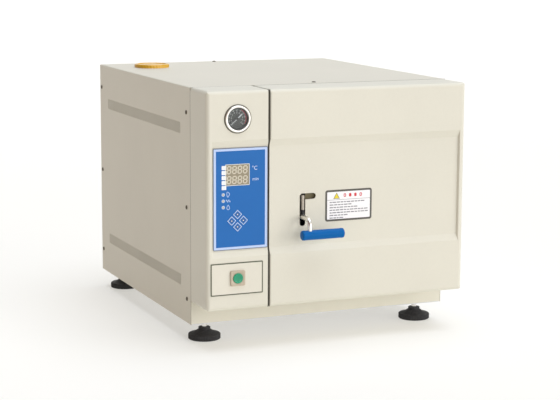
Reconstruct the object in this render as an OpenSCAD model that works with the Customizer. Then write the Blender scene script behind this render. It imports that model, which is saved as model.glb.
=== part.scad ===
// Benchtop steam autoclave: sheet-steel case, control fascia, swinging door with a latch lever,
// pressure chamber with trays, water tank, pump, valves, condenser, fan and levelling feet.
// Millimetres. +X to the right, +Y to the rear, +Z up. The bench is z = 0.

/* [Case] */
// Width of the case
case_w = 600; // [590:5:740]
// Depth of the case behind its front plate
case_d = 640; // [620:5:800]
// Height of the case above its underside
case_h = 506; // [495:1:620]
// Thickness of the sheet steel
sheet_t = 1.5; // [1:0.1:2]
// Outside radius of the hood's folds
fold_r = 3; // [2.5:0.5:6]
// Width of the flanges that the hood is screwed to
flange_w = 34; // [30:1:45]

/* [Vents] */
// Height of each row of slots
vent_h = 24; // [16:1:30]
// Width of one slot
vent_w = 3; // [2:0.5:4]
// Spacing of the slots
vent_pitch = 7; // [6:0.5:10]
// Height of the lower row above the case's underside
vent_low = 75; // [60:1:100]
// Distance of the upper row below the case's top
vent_high = 102.5; // [90:0.5:130]
// Distance from the case's front and rear edges to the rows
vent_margin = 62; // [50:1:80]

/* [Feet] */
// Height of the case's underside above the bench
foot_h = 42; // [40:1:55]
// Diameter of a rubber pad
foot_pad_d = 70; // [50:1:76]
// Height of the pad's straight side
foot_pad_h = 12; // [8:1:14]
// Diameter of the stud
foot_stud_d = 12; // [10:1:16]
// Distance from the case's side to the stud
foot_in_x = 45; // [40:1:70]
// Distance from the case's front or rear edge to the stud
foot_in_y = 40; // [38:1:70]

/* [Door and fascia] */
// Depth of the door and of the fascia in front of the case
door_d = 96; // [85:1:110]
// Height of the skirt below the door
skirt_h = 48; // [40:1:60]
// Width of the fascia
fascia_w = 137.3; // [135:0.1:160]
// Gap between the fascia and the door
door_gap = 4; // [3:0.5:6]
// Gap between the door and the case behind it
rear_gap = 3; // [2:0.5:5]
// Radius of the long front edges and the corners
edge_r = 8; // [5:0.5:12]
// Radius of the edges beside the gap
gap_r = 3; // [2:0.5:5]
// Radius of the door's edge around the hinge
hinge_r = 10; // [10:0.5:12]
// Diameter of the hinge pins
hinge_pin_d = 8; // [6:0.5:8]

/* [Recessed band] */
// Height of the band's lower edge above the bottom of the door
band_low = 112; // [105:1:125]
// Height of the band
band_h = 243; // [240:1:260]
// Depth of the band
band_deep = 5; // [3:0.5:8]
// Width of the sloped sides
band_slope = 14.5; // [8:0.5:15]
// Distance from the case's side to the band's end
band_end = 11.5; // [10:0.5:12]
// Width of the sloped ends
band_end_slope = 2.5; // [1:0.5:2.5]

/* [Chamber] */
// Inside diameter of the chamber
chamber_d = 340; // [310:2:350]
// Length of the chamber's straight wall
chamber_l = 500; // [450:5:510]
// Depth of the dished rear end
dish_h = 52; // [40:1:55]
// Thickness of the chamber's wall
chamber_t = 3; // [2:0.5:4]
// Distance from the case's right side to the chamber's axis
chamber_in = 230; // [228:1:240]
// Height of the chamber's axis above the case's underside
chamber_up = 278; // [270:1:290]
// Width of the flange around the mouth
mouth_w = 30; // [24:1:32]
// Thickness of that flange
mouth_t = 12; // [8:1:14]
// Thickness of the insulation
jacket_t = 14; // [8:1:18]
// Thickness of the door gasket
gasket_t = 3.7; // [3:0.1:5]

/* [Trays] */
// Length of a tray
tray_l = 400; // [300:5:410]
// Space beside a tray, out to the chamber's widest
tray_side = 54; // [52:1:70]
// Depth of a tray
tray_h = 22; // [15:1:30]
// Spacing of the trays
tray_pitch = 65; // [55:1:68]
// Travel of a tray behind the closed door
tray_travel = 70; // [40:1:75]

/* [Latch lever] */
// Distance from the door's left edge to the lever
lever_in = 75.5; // [70:0.5:100]
// Height of the lever's axis above the bottom of the door
lever_up = 186.4; // [180:0.1:195]
// Distance from the door's front to the lever's axis
lever_back = 56; // [54:0.5:58]
// Diameter of the rod
rod_d = 10.5; // [7:0.5:11]
// Width of the slot in the door
slot_w = 13.5; // [12.5:0.5:15]
// Height of the slot
slot_h = 70.3; // [69.5:0.1:76]
// Length of the slot's upper leg
slot_l = 37.5; // [30:0.1:45]
// Distance from the door's front to the grip's axis
grip_out = 34; // [30:1:45]
// Distance from the lever's axis down to the grip
grip_drop = 32.4; // [30:0.1:45]
// Diameter of the grip
grip_d = 21; // [18:1:26]
// Length of the grip
grip_l = 96; // [80:1:120]
// Length of the grip beyond the rod's left side
grip_tail = 18.8; // [14:0.1:30]

/* [Gauge] */
// Diameter of the gauge's bezel
gauge_d = 60; // [50:1:64]
// Diameter of the dial
dial_d = 44; // [36:1:50]
// Distance from the case's left side to the gauge
gauge_in = 68.5; // [60:0.5:75]
// Height of the gauge above the bottom of the door
gauge_up = 400; // [398:1:412]

/* [Keypad] */
// Width of the panel
panel_w = 121.6; // [119:0.1:121.8]
// Height of the panel
panel_h = 213; // [209:0.5:213]
// Thickness of the panel
panel_t = 1.6; // [1.5:0.1:2]
// Width of the display
display_w = 51; // [40:1:60]
// Height of the display
display_h = 41.5; // [30:0.5:44]
// Diagonal of a key
key_size = 20; // [14:0.5:22]
// Distance from the keypad's centre to a key
key_reach = 13; // [12.5:0.1:16]
// How far a key stands out, which is also its travel
key_travel = 0.4; // [0.3:0.05:0.6]

/* [Power switch] */
// Width of the plate behind the switch
plate_w = 116.4; // [90:0.1:118]
// Height of that plate
plate_h = 68.2; // [50:0.1:70]
// Width of the square bezel
bezel_w = 32.5; // [28:0.5:36]
// Diameter of the button
button_d = 22; // [16:1:22]
// Travel of the button
button_travel = 3; // [2:0.5:4]

/* [Water tank] */
// Width of the tank
tank_w = 148; // [120:1:150]
// Length of the tank
tank_l = 220; // [180:5:230]
// Height of the tank
tank_h = 425; // [300:5:430]
// Wall of the tank
tank_t = 3; // [2:0.5:4]
// Outside diameter of the filler neck
neck_d = 56; // [40:1:60]
// Distance from the case's left side to the filler
filler_in = 92.5; // [85:0.5:100]
// Distance from the case's rear to the filler
filler_back = 119; // [100:1:140]
// Diameter of the filler cap
cap_d = 83; // [70:1:90]
// Height of the filler cap
cap_h = 8; // [6:0.5:12]

/* [Fan] */
// Width of the fan's square frame
fan_w = 120; // [80:1:120]
// Depth of the fan
fan_t = 38; // [25:1:38]
// Number of blades
fan_blades = 7; // [5:1:9]
// Distance from the case's right side to the fan
fan_in = 112; // [100:1:130]
// Height of the fan above the case's underside
fan_up = 120; // [100:1:150]

/* [Rear fittings] */
// Outside diameter of the drain spigot
spigot_d = 12; // [8:1:14]
// Length of the drain spigot
spigot_l = 22; // [20:1:30]
// Size of the drain valve's body
valve_w = 24; // [20:1:28]
// Outside diameter of the thick pipes
pipe_d = 10; // [6:1:12]
// Outside diameter of the gauge line
line_d = 5; // [4:1:6]

/* [Hidden] */
$fn = 48;
over = 1;                                   // how far a cut runs past a face
slip = 0.05;                                // radial clearance of a turning or sliding pin
gap = 0.3;                                  // space between pieces that must not touch

// Overall frame: the bench is z = 0 and the part is centred in x and y
x_left = -case_w / 2;
x_right = case_w / 2;
z_base = foot_h;
z_top = foot_h + case_h;
z_door = z_base + skirt_h;
front_reach = door_d + grip_out + grip_d / 2;
rear_reach = 16 + spigot_l;
y_front = front_reach - (front_reach + case_d + rear_reach) / 2;
y_rear = y_front + case_d;
y_skin = y_front - door_d;
y_floor = y_skin + band_deep;
x_fascia = x_left + fascia_w;
x_door = x_fascia + door_gap;

// Recessed band
z_band = z_door + band_low;
band_top = z_band + band_h;

// Chamber
chamber_x = x_right - chamber_in;
chamber_z = z_base + chamber_up;
chamber_r = chamber_d / 2;
shell_r = chamber_r + chamber_t;
mouth_r = chamber_r + mouth_w;
jacket_r = shell_r + jacket_t;
y_dish = y_front + chamber_l;
y_port = y_dish + dish_h + chamber_t + 8;   // rear faces of the chamber's ports
port_up = chamber_r - 60;                   // upper port above the chamber's axis
heater_in = 60;                             // heater legs beside the chamber's axis
heater_d = 8;

// Door internals, all in front of the chamber's mouth
y_mouth = y_front - mouth_t;
y_plate = y_mouth - gap - gasket_t;
plate_t = 6;
plate_r = mouth_r - 4;
dish_step = 8;
yoke_t = 12;
y_yoke = y_plate - plate_t - dish_step;     // rear face of the yoke's boss
yoke_gap = 4;
y_bar = y_yoke - yoke_gap;
bar_h = 24;
bar_up = 142;                               // the yoke's bars above and below the axis
web_w = 40;

// Hinge
hinge_x = x_right - hinge_r;
hinge_y = y_front - rear_gap - hinge_r;
knuckle_r = hinge_r - sheet_t - 0.5;
knuckle_h = 30;
ear_h = 11.5;
ear_gap = 0.5;

// Lever
lever_x = x_door + lever_in;
lever_z = z_door + lever_up;
lever_y = y_skin + lever_back;
shaft_r = 6;
shaft_l = x_door + 6.7;                     // left end of the lever's shaft
shaft_end = lever_x + 17.2;
z_slot = lever_z - 20;
hook_w = 6;
hook_x = x_door + 12.7;
keeper_t = 3;
keeper_side = 1.5;                          // space between the hook and each cheek
hook_reach = 33;                            // hook's back face behind the lever's axis
lip_t = 5.5;
lip_up = 8;                                 // hook's lip above the lever's axis at rest
strike_up = lip_up + 1;                     // striker bar's under side above the axis
strike = [6, 7];                            // striker bar's depth and height
y_strike = lever_y + hook_reach - lip_t - 4 - strike[0];
y_grip = y_skin - grip_out;
z_grip = lever_z - grip_drop;
rod_bend = 15;

// Gauge
gauge_x = x_left + gauge_in;
gauge_z = z_door + gauge_up;
body_r = gauge_d / 2 - 4.2;
bezel_out = 4;
stem_l = 19;

// Keypad, measured from the panel's left and lower edges
panel_x = x_left + 15.5;
panel_z = z_band + 15.3;
y_panel = y_floor - panel_t;
display_at = [panel_x + 28.2, panel_z + 136];
key_at = [panel_x + 54, panel_z + 60.9];
lamp_x = panel_x + 22.4;
lamp_z = panel_z + 90.1;
lamp_pitch = 13.2;
lamp_d = 5;
y_board = y_floor + 14;

// Power switch
plate_at = [x_left + 8.4, z_door + 32.8];
switch_plate_t = 1;
switch_x = x_left + 67.7;
switch_z = z_door + 68;
bezel_t = 4;
button_out = 1;                             // how far the button stands out of its bezel
body_w = bezel_w - 4.6;

// Water tank and filler
filler_x = x_left + filler_in;
filler_y = y_rear - filler_back;
tank_x = x_left + 15;
tank_y = y_rear - foot_in_y - foot_stud_d / 2 - 7 - tank_l;
tank_z = z_base + sheet_t;
neck_t = 3;
collar_r = cap_d / 2 - 5;
collar_t = 2;

// Trays
tray_t = 1.2;
tray_y = y_front + tray_travel + 6;
runner_w = 8;
rail_t = 2;
tray_w = chamber_d - 2 * tray_side;
rail_in = tray_w / 2 + 2;
tray_z = [for (i = [-1:1]) chamber_z + i * tray_pitch - 20];
rack_y = [y_front + 60, tray_y + tray_l + 10];
rack_low = chamber_z - sqrt(pow(chamber_r, 2) - pow(rail_in + rail_t, 2)) + gap;
heater_z = rack_low - 15;                   // heater legs, under the rack's cross rods

// Fan
fan_x = x_right - fan_in;
fan_z = z_base + fan_up;
y_fan = y_rear - sheet_t - fan_t;
fan_r = fan_w / 2 - 2;
fan_hub_r = fan_w / 6;

// Valves behind the chamber
y_block = y_rear - 60;
block_x = [chamber_x - 90, chamber_x + 55];
block_z = [z_base + 32, z_base + 56];
coil_at = [-72, -36, 34];
drain_x = chamber_x - 130;
drain_z = (block_z[0] + block_z[1]) / 2;
ring_x = chamber_x;
ring_z = chamber_z + port_up;
inlet_x = x_left + 90;
inlet_z = z_base + 58;
inlet_w = [46, 30];

foot_at = [
    [x_left + foot_in_x, y_front + foot_in_y], [x_right - foot_in_x, y_front + foot_in_y],
    [x_left + foot_in_x, y_rear - foot_in_y], [x_right - foot_in_x, y_rear - foot_in_y]
];

// ---- Shapes used by many pieces ----

// Block between two opposite corners
module box(a, b) translate(a) cube(b - a);

// Outline drawn in x and z, from y0 back to y1
module slab(y0, y1) translate([0, y1, 0]) rotate([90, 0, 0]) linear_extrude(y1 - y0) children();

// Outline drawn in y and z, from x0 to x1
module beam(x0, x1) translate([x0, 0, 0]) rotate([90, 0, 90]) linear_extrude(x1 - x0) children();

// Outline drawn in x and y, from z0 up to z1
module post(z0, z1) translate([0, 0, z0]) linear_extrude(z1 - z0) children();

// Round bars along each axis
module rod_x(x0, x1, y, z, r) translate([x0, y, z]) rotate([0, 90, 0]) cylinder(r = r, h = x1 - x0);
module rod_y(x, y0, y1, z, r) translate([x, y0, z]) rotate([-90, 0, 0]) cylinder(r = r, h = y1 - y0);
module rod_z(x, y, z0, z1, r) translate([x, y, z0]) cylinder(r = r, h = z1 - z0);

// Rectangle between corners a and b, with a radius for each corner, counter-clockwise from a
module rounded(a, b, r) {
    corners = [[a.x, a.y, 1, 1], [b.x, a.y, -1, 1], [b.x, b.y, -1, -1], [a.x, b.y, 1, -1]];
    difference() {
        translate(a) square(b - a);
        for (i = [0:3])
            if (r[i] > 0) nick(corners[i], r[i]);
    }
}

// What a rounded corner loses; c holds the corner and the two directions into the rectangle
module nick(c, r) {
    difference() {
        translate([c[0] - (c[2] > 0 ? over : r), c[1] - (c[3] > 0 ? over : r)]) square(r + over);
        translate([c[0] + c[2] * r, c[1] + c[3] * r]) circle(r);
    }
}

// The same rectangle about its centre, with one radius
module plate_outline(c, w, h, r) rounded(c - [w, h] / 2, c + [w, h] / 2, [r, r, r, r]);

// Surface of revolution about an axis along y: the outline is drawn in radius and distance back
module turned(x, y, z) translate([x, y, z]) rotate([-90, 0, 0]) rotate_extrude($fn = 96) children();

// Pipe through a list of points, with square elbow fittings
module pipe(points, r) {
    for (i = [0:len(points) - 2]) {
        d = points[i + 1] - points[i];
        translate(points[i])
            rotate([0, acos(d.z / norm(d)), atan2(d.y, d.x)]) cylinder(r = r, h = norm(d), $fn = 24);
    }
    for (i = [1:1:len(points) - 2]) translate(points[i]) cube(r * 2.6, center = true);
}

// Front shell with rounded edges, made smaller by g on every side but the rear
module cowl(x0, x1, y1, side_r, front_r, g) {
    lo = z_door + g;
    hi = z_top - g;
    intersection() {
        post(lo, hi) rounded([x0 + g, y_skin + g], [x1 - g, y1], side_r);
        beam(x0, x1) rounded([y_skin + g, lo], [y1, hi], [edge_r - g, 0, 0, edge_r - g]);
        slab(y_skin, y1) rounded([x0 + g, lo], [x1 - g, hi], front_r);
    }
}

// Tapered recess from x0 to x1, with its ends sloped by s0 and s1, grown by g
module band(x0, x1, s0, s1, g) {
    intersection() {
        beam(x0 - g, x1 + g) polygon([
            [y_skin - over, z_band - g], [y_skin, z_band - g],
            [y_floor + g, z_band + band_slope - g / 2], [y_floor + g, band_top - band_slope + g / 2],
            [y_skin, band_top + g], [y_skin - over, band_top + g]
        ]);
        post(z_band - g, band_top + g) polygon([
            [x0 - g, y_skin - over], [x0 - g, y_skin],
            [x0 + s0 - g, y_floor + g], [x1 - s1 + g, y_floor + g],
            [x1 + g, y_skin], [x1 + g, y_skin - over]
        ]);
    }
}

// ---- Case ----

module base_tray() {
    color("gainsboro") difference() {
        union() {
            box([x_left + sheet_t, y_front, z_base], [x_right - sheet_t, y_rear, z_base + sheet_t]);
            for (x = [x_left + sheet_t, x_right - 2 * sheet_t])
                box([x, y_front + flange_w + gap, z_base], [x + sheet_t, y_rear - flange_w - gap, z_base + 22]);
            for (p = foot_at) rod_z(p.x, p.y, z_base, z_base + 13, foot_stud_d / 2 + 5);
        }
        for (p = foot_at) rod_z(p.x, p.y, z_base - over, z_base + 14, foot_stud_d / 2 + slip);
    }
}

// Open sheet-metal pan: a plate from y0 to y1 with flanges on its sides and top that run to y2
module pan(y0, y1, y2) {
    lo = [x_left + sheet_t, z_base + sheet_t];
    hi = [x_right - sheet_t, z_top - sheet_t];
    difference() {
        slab(min(y0, y2), max(y1, y2)) rounded(lo, hi, [0, 0, fold_r - sheet_t, fold_r - sheet_t]);
        slab(min(y1, y2 - over), max(y0, y2 + over)) translate([lo.x + sheet_t, lo.y - over])
            square([hi.x - lo.x - 2 * sheet_t, hi.y - lo.y - sheet_t + over]);
    }
}

// Where the hood's screws sit: [x, y, z, direction]
function side_screws() = [
    for (s = [-1, 1], y = [y_front + 24, y_rear - 13], h = [52, 250, 452])
        [s * (case_w / 2 - sheet_t), y, z_base + h, s]
];
function top_screws() = [for (y = [y_front + 23, y_rear - 12]) [-8, y, z_top - sheet_t]];

module screw_holes(r) {
    for (p = side_screws()) rod_x(p.x - 12, p.x + 12, p.y, p.z, r);
    for (p = top_screws()) rod_z(p.x, p.y, p.z - 12, p.z + 12, r);
}

module front_frame() {
    color("ivory") difference() {
        pan(y_front, y_front + sheet_t, y_front + flange_w);
        rod_y(chamber_x, y_front - over, y_front + 3, chamber_z, shell_r + gap);
        box([x_left + 20, y_front - over, z_door + 40], [x_fascia - 20, y_front + 3, z_top - 30]);
        screw_holes(2);
    }
}

module rear_panel() {
    color("ivory") difference() {
        pan(y_rear - sheet_t, y_rear, y_rear - flange_w);
        rod_y(fan_x, y_rear - 3, y_rear + over, fan_z, fan_r);
        rod_y(drain_x, y_rear - 3, y_rear + over, drain_z, 8.5);
        rod_y(ring_x, y_rear - 3, y_rear + over, ring_z, 8.5);
        slab(y_rear - 3, y_rear + over)
            plate_outline([inlet_x, inlet_z], inlet_w[0] - 6 + 2 * gap, inlet_w[1] - 6 + 2 * gap, 0);
        screw_holes(2);
    }
}

module vent_row(z) {
    count = floor((case_d - 2 * vent_margin - vent_w) / vent_pitch);
    start = y_front + (case_d - count * vent_pitch - vent_w) / 2;
    for (i = [0:count])
        box([x_left - over, start + i * vent_pitch, z], [x_right + over, start + i * vent_pitch + vent_w, z + vent_h]);
}

module outer_hood() {
    inner = fold_r - sheet_t;
    color("antiquewhite") difference() {
        slab(y_front, y_rear) rounded([x_left, z_base], [x_right, z_top], [0, 0, fold_r, fold_r]);
        slab(y_front - over, y_rear + over)
            rounded([x_left + sheet_t, z_base - over], [x_right - sheet_t, z_top - sheet_t], [0, 0, inner, inner]);
        vent_row(z_base + vent_low);
        vent_row(z_top - vent_high);
        screw_holes(2.2);
        rod_z(filler_x, filler_y, z_top - 3, z_top + over, neck_d / 2 + gap);
    }
}

module case_screws() {
    color("silver") {
        for (p = side_screws()) {
            head = case_w / 2 + 2.2;
            rod_x(min(p.x - p[3] * 5, p.x + p[3] * sheet_t), max(p.x - p[3] * 5, p.x + p[3] * sheet_t), p.y, p.z, 1.95);
            rod_x(min(p[3] * case_w / 2, p[3] * head), max(p[3] * case_w / 2, p[3] * head), p.y, p.z, 4.5);
        }
        for (p = top_screws()) {
            rod_z(p.x, p.y, p.z - 5, z_top, 1.95);
            rod_z(p.x, p.y, z_top, z_top + 2.2, 4.5);
        }
    }
}

// ---- Fascia and its instruments ----

module control_fascia() {
    wall_r = [edge_r, gap_r, 0, 0];
    in_r = [edge_r - sheet_t, gap_r - sheet_t, 0, 0];
    front_r = [edge_r, gap_r, gap_r, edge_r];
    x1 = x_fascia;
    color("ivory") difference() {
        cowl(x_left, x1, y_front, wall_r, front_r, 0);
        difference() {
            cowl(x_left, x1, y_front + over, in_r, [for (r = front_r) r - sheet_t], sheet_t);
            band(x_left + band_end, x1 + over, band_end_slope, 0, sheet_t);
        }
        band(x_left + band_end, x1 + over, band_end_slope, 0, 0);
        rod_y(gauge_x, y_skin - over, y_skin + 3, gauge_z, body_r + gap);
        box([display_at.x - gap, y_floor - over, display_at.y - gap],
            [display_at.x + display_w + gap, y_floor + 3, display_at.y + display_h + gap]);
        for (i = [0:2]) rod_y(lamp_x, y_floor - over, y_floor + 3, lamp_z + i * lamp_pitch, lamp_d / 2 + gap);
        slab(y_skin - over, y_skin + 3)
            plate_outline([switch_x, switch_z], body_w + 2 * gap, body_w + 2 * gap, 0);
    }
}

module gauge_case() {
    inner = dial_d / 2;
    color("silver") turned(gauge_x, y_skin, gauge_z) difference() {
        union() {
            translate([0, -bezel_out]) square([gauge_d / 2, bezel_out]);
            square([body_r, 26]);
            square([6, 26 + stem_l]);
        }
        translate([0, -bezel_out - over]) square([inner, bezel_out + over + 7]);
        square([1 + slip, 12]);
    }
}

module gauge_dial() {
    color("black") turned(gauge_x, y_skin, gauge_z) translate([1 + slip, 5.5]) square([dial_d / 2 - 0.1 - 1 - slip, 1.5]);
}

module gauge_needle() {
    color("white") translate([gauge_x, y_skin + 2.2, gauge_z]) rotate([0, 228, 0]) {
        rotate([90, 0, 0]) translate([0, 0, -0.8]) linear_extrude(0.8)
            polygon([[-1.5, -14], [1.5, -14], [1.1, 0], [0.4, 18], [-0.4, 18], [-1.1, 0]]);
        rotate([-90, 0, 0]) cylinder(r = 2.6, h = 1.4);
        rotate([-90, 0, 0]) cylinder(r = 1, h = 8);
    }
}

module gauge_lens() {
    color("lightblue", 0.4) rod_y(gauge_x, y_skin - 2, y_skin - 0.5, gauge_z, dial_d / 2 - 0.1);
}

// Diamond standing on a corner, s from tip to tip
module diamond(c, s) translate(c) rotate(45) square(s / sqrt(2), center = true);

module keypad_panel() {
    color("steelblue") difference() {
        slab(y_panel, y_floor) rounded([panel_x, panel_z], [panel_x + panel_w, panel_z + panel_h], [3, 3, 3, 3]);
        box([display_at.x - gap, y_panel - over, display_at.y - gap],
            [display_at.x + display_w + gap, y_floor + over, display_at.y + display_h + gap]);
        for (i = [0:2]) rod_y(lamp_x, y_panel - over, y_floor + over, lamp_z + i * lamp_pitch, lamp_d / 2 + gap);
        for (d = [[0, 1], [0, -1], [-1, 0], [1, 0]])
            slab(y_panel - over, y_panel + 1.4) diamond(key_at + key_reach * d, key_size + 2 * gap);
    }
}

module key_cap(d) {
    color("lightblue") slab(y_panel - key_travel, y_panel + 0.9) diamond(key_at + key_reach * d, key_size);
}

module display_module() {
    color("tan") box([display_at.x, y_panel + 0.3, display_at.y],
        [display_at.x + display_w, y_board, display_at.y + display_h]);
}

module display_board() {
    lo = [panel_x + 12, panel_z + 30];
    hi = [panel_x + 108, panel_z + 186];
    color("green") {
        box([lo.x, y_board, lo.y], [hi.x, y_board + 1.6, hi.y]);
        for (i = [0:2]) rod_y(lamp_x, y_panel + 0.1, y_board, lamp_z + i * lamp_pitch, lamp_d / 2);
        for (x = [lo.x + 6, hi.x - 6], z = [lo.y + 6, hi.y - 6]) rod_y(x, y_floor + sheet_t, y_board, z, 3);
        for (i = [0:2]) box([lo.x + 16 + i * 26, y_board + 1.6, lo.y + 24], [lo.x + 30 + i * 26, y_board + 4, lo.y + 48]);
        box([lo.x + 30, y_board + 1.6, lo.y + 90], [lo.x + 70, y_board + 12, lo.y + 100]);
    }
}

module switch_plate() {
    lo = plate_at;
    color("darkolivegreen") difference() {
        slab(y_skin - switch_plate_t, y_skin) rounded(lo, lo + [plate_w, plate_h], [2, 2, 2, 2]);
        slab(y_skin - 3, y_skin + over) plate_outline([switch_x, switch_z], body_w + 2 * gap, body_w + 2 * gap, 0);
    }
}

module switch_bezel() {
    y0 = y_skin - switch_plate_t - bezel_t;
    color("lightgray") difference() {
        union() {
            slab(y0, y0 + bezel_t) plate_outline([switch_x, switch_z], bezel_w, bezel_w, 3);
            slab(y0 + bezel_t, y_skin + 30) plate_outline([switch_x, switch_z], body_w, body_w, 0);
        }
        rod_y(switch_x, y0 - over, y_skin + 14, switch_z, button_d / 2 + slip);
    }
}

module power_button() {
    y0 = y_skin - switch_plate_t - bezel_t - button_out;
    color("seagreen") rod_y(switch_x, y0, y_skin + 10, switch_z, button_d / 2);
}

// ---- Chamber ----

// Outline of the inside of the chamber, grown by g: straight wall and dished rear end
module chamber_outline(y0, g) {
    dish = [for (a = [0:15:90]) [(chamber_r + g) * cos(a), chamber_l + (dish_h + g) * sin(a)]];
    polygon(concat([[0, y0], [chamber_r + g, y0]], dish));
}

module ports(r0, r1) {
    for (z = [0, port_up]) rod_y(chamber_x, y_dish - 60, y_port, chamber_z + z, r0);
    for (x = [-heater_in, heater_in]) rod_y(chamber_x + x, y_dish - 60, y_port, heater_z, r1);
}

module chamber() {
    color("silver") difference() {
        union() {
            turned(chamber_x, y_front, chamber_z) {
                chamber_outline(-mouth_t, chamber_t);
                translate([0, -mouth_t]) square([mouth_r, mouth_t]);
            }
            ports(12, 10);
        }
        turned(chamber_x, y_front, chamber_z) chamber_outline(-mouth_t - over, 0);
        for (z = [0, port_up]) rod_y(chamber_x, y_dish - 80, y_port + over, chamber_z + z, pipe_d / 2 - 1.5);
        for (x = [-heater_in, heater_in])
            rod_y(chamber_x + x, y_dish - 80, y_port + over, heater_z, heater_d / 2 + slip);
    }
}

module insulation_jacket() {
    color("khaki") turned(chamber_x, y_front, chamber_z)
        translate([shell_r + 0.2, 3]) square([jacket_t - 0.2, chamber_l - 8]);
}

module chamber_saddles() {
    color("dimgray") for (y = [y_front + 110, y_rear - 180]) difference() {
        box([chamber_x - 150, y, z_base + sheet_t], [chamber_x + 150, y + 4, chamber_z - 70]);
        rod_y(chamber_x, y - over, y + 5, chamber_z, jacket_r + 0.2);
        box([chamber_x - 100, y - over, z_base + sheet_t + 10], [chamber_x + 100, y + 5, chamber_z - jacket_r - 20]);
    }
}

module heater_element() {
    r = heater_d / 2;
    color("dimgray") {
        for (x = [-heater_in, heater_in]) {
            rod_y(chamber_x + x, y_front + 110, y_port + 6, heater_z, r);
            rod_y(chamber_x + x, y_port + 6, y_port + 16, heater_z, 2);
        }
        translate([chamber_x, y_front + 110, heater_z]) rotate([0, 0, 180])
            rotate_extrude(angle = 180) translate([heater_in, 0]) circle(r = r, $fn = 32);
    }
}

// ---- Trays ----

module tray_rack() {
    color("silver") {
        for (s = [-1, 1]) {
            wall = [chamber_x + s * rail_in, chamber_x + s * (rail_in + rail_t)];
            ledge = [chamber_x + s * (rail_in - runner_w), chamber_x + s * rail_in];
            box([min(wall), rack_y[0], rack_low], [max(wall), rack_y[1], tray_z[2] + tray_h + 8]);
            for (z = tray_z) box([min(ledge), rack_y[0], z - rail_t], [max(ledge), rack_y[1], z]);
        }
        for (y = [rack_y[0] + 12, rack_y[1] - 12])
            rod_x(chamber_x - rail_in, chamber_x + rail_in, y, rack_low + 4, 3);
    }
}

module tray(z) {
    color("lightsteelblue") difference() {
        box([chamber_x - tray_w / 2, tray_y, z], [chamber_x + tray_w / 2, tray_y + tray_l, z + tray_h]);
        box([chamber_x - tray_w / 2 + tray_t, tray_y + tray_t, z + tray_t],
            [chamber_x + tray_w / 2 - tray_t, tray_y + tray_l - tray_t, z + tray_h + over]);
        for (i = [1:7], j = [-2:2])
            rod_z(chamber_x + j * tray_w / 6, tray_y + i * tray_l / 8, z - over, z + 3, 3);
    }
}

// ---- Door ----

module door_cover() {
    y1 = y_front - rear_gap;
    band_x1 = x_right - band_end;
    front_r = [gap_r, edge_r, edge_r, gap_r];
    color("ivory") difference() {
        cowl(x_door, x_right, y1, [gap_r, edge_r, hinge_r, 0], front_r, 0);
        difference() {
            union() {
                cowl(x_door, x_right, y1 - sheet_t, [gap_r - sheet_t, edge_r - sheet_t, hinge_r - sheet_t, 0],
                    [for (r = front_r) r - sheet_t], sheet_t);
                box([x_door + sheet_t, y1 - 4, z_door + sheet_t], [hinge_x, y1 + over, z_top - sheet_t]);
            }
            band(x_door - over, band_x1, 0, band_end_slope, sheet_t);
        }
        band(x_door - over, band_x1, 0, band_end_slope, 0);
        lever_slot();
    }
}

module lever_slot() {
    r = slot_w / 2;
    top = z_slot + slot_h;
    slab(y_floor - over, y_floor + 3) union() {
        plate_outline([lever_x, z_slot + slot_h / 2], slot_w, slot_h, r);
        rounded([lever_x - r, top - slot_w], [lever_x - r + slot_l, top], [0, r, r, r]);
    }
}

module door_plate() {
    color("silver") turned(chamber_x, y_plate, chamber_z) polygon([
        [0, -plate_t - dish_step], [chamber_r - 35, -plate_t - dish_step], [chamber_r - 20, -plate_t],
        [plate_r, -plate_t], [plate_r, 0], [chamber_r - 22, 0],
        [chamber_r - 37, -dish_step], [0, -dish_step]
    ]);
}

module door_gasket() {
    color("white") turned(chamber_x, y_plate, chamber_z)
        translate([chamber_r + 3, 0]) square([mouth_w - 12, gasket_t]);
}

module door_yoke() {
    y0 = y_bar - yoke_t;
    bar_x = [x_door + 14, hinge_x - 22];
    color("slategray") difference() {
        union() {
            for (s = [-1, 1]) {
                z = chamber_z + s * bar_up;
                box([bar_x[0], y0, z - bar_h / 2], [bar_x[1], y_bar, z + bar_h / 2]);
                for (x = [bar_x[0] + 26, bar_x[1] - 38]) rod_y(x, y_skin + sheet_t, y0, z, 5);
                box([hinge_x - 35, y0, z - knuckle_h / 2], [hinge_x - 22, hinge_y - 4, z + knuckle_h / 2]);
                box([hinge_x - 24, hinge_y - knuckle_r, z - knuckle_h / 2], [hinge_x, hinge_y - 4, z + knuckle_h / 2]);
                rod_z(hinge_x, hinge_y, z - knuckle_h / 2, z + knuckle_h / 2, knuckle_r);
            }
            box([chamber_x - web_w / 2, y0, chamber_z - bar_up], [chamber_x + web_w / 2, y_bar, chamber_z + bar_up]);
            rod_y(chamber_x, y_bar, y_yoke, chamber_z, 28);
        }
        for (s = [-1, 1])
            rod_z(hinge_x, hinge_y, chamber_z + s * bar_up - 20, chamber_z + s * bar_up + 20, hinge_pin_d / 2 + slip);
    }
}

module notice_label() {
    at = [lever_x + 107.2, lever_z + 19.6];
    color("white") slab(y_floor - 0.4, y_floor) plate_outline(at, 109, 67, 5);
}

// Heights of the two fixed ears beside a hinge knuckle centred at z
function ear_spans(z) = [for (s = [-1, 1]) let (n = z + s * (knuckle_h / 2 + ear_gap), f = n + s * ear_h) [min(n, f), max(n, f)]];

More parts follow.
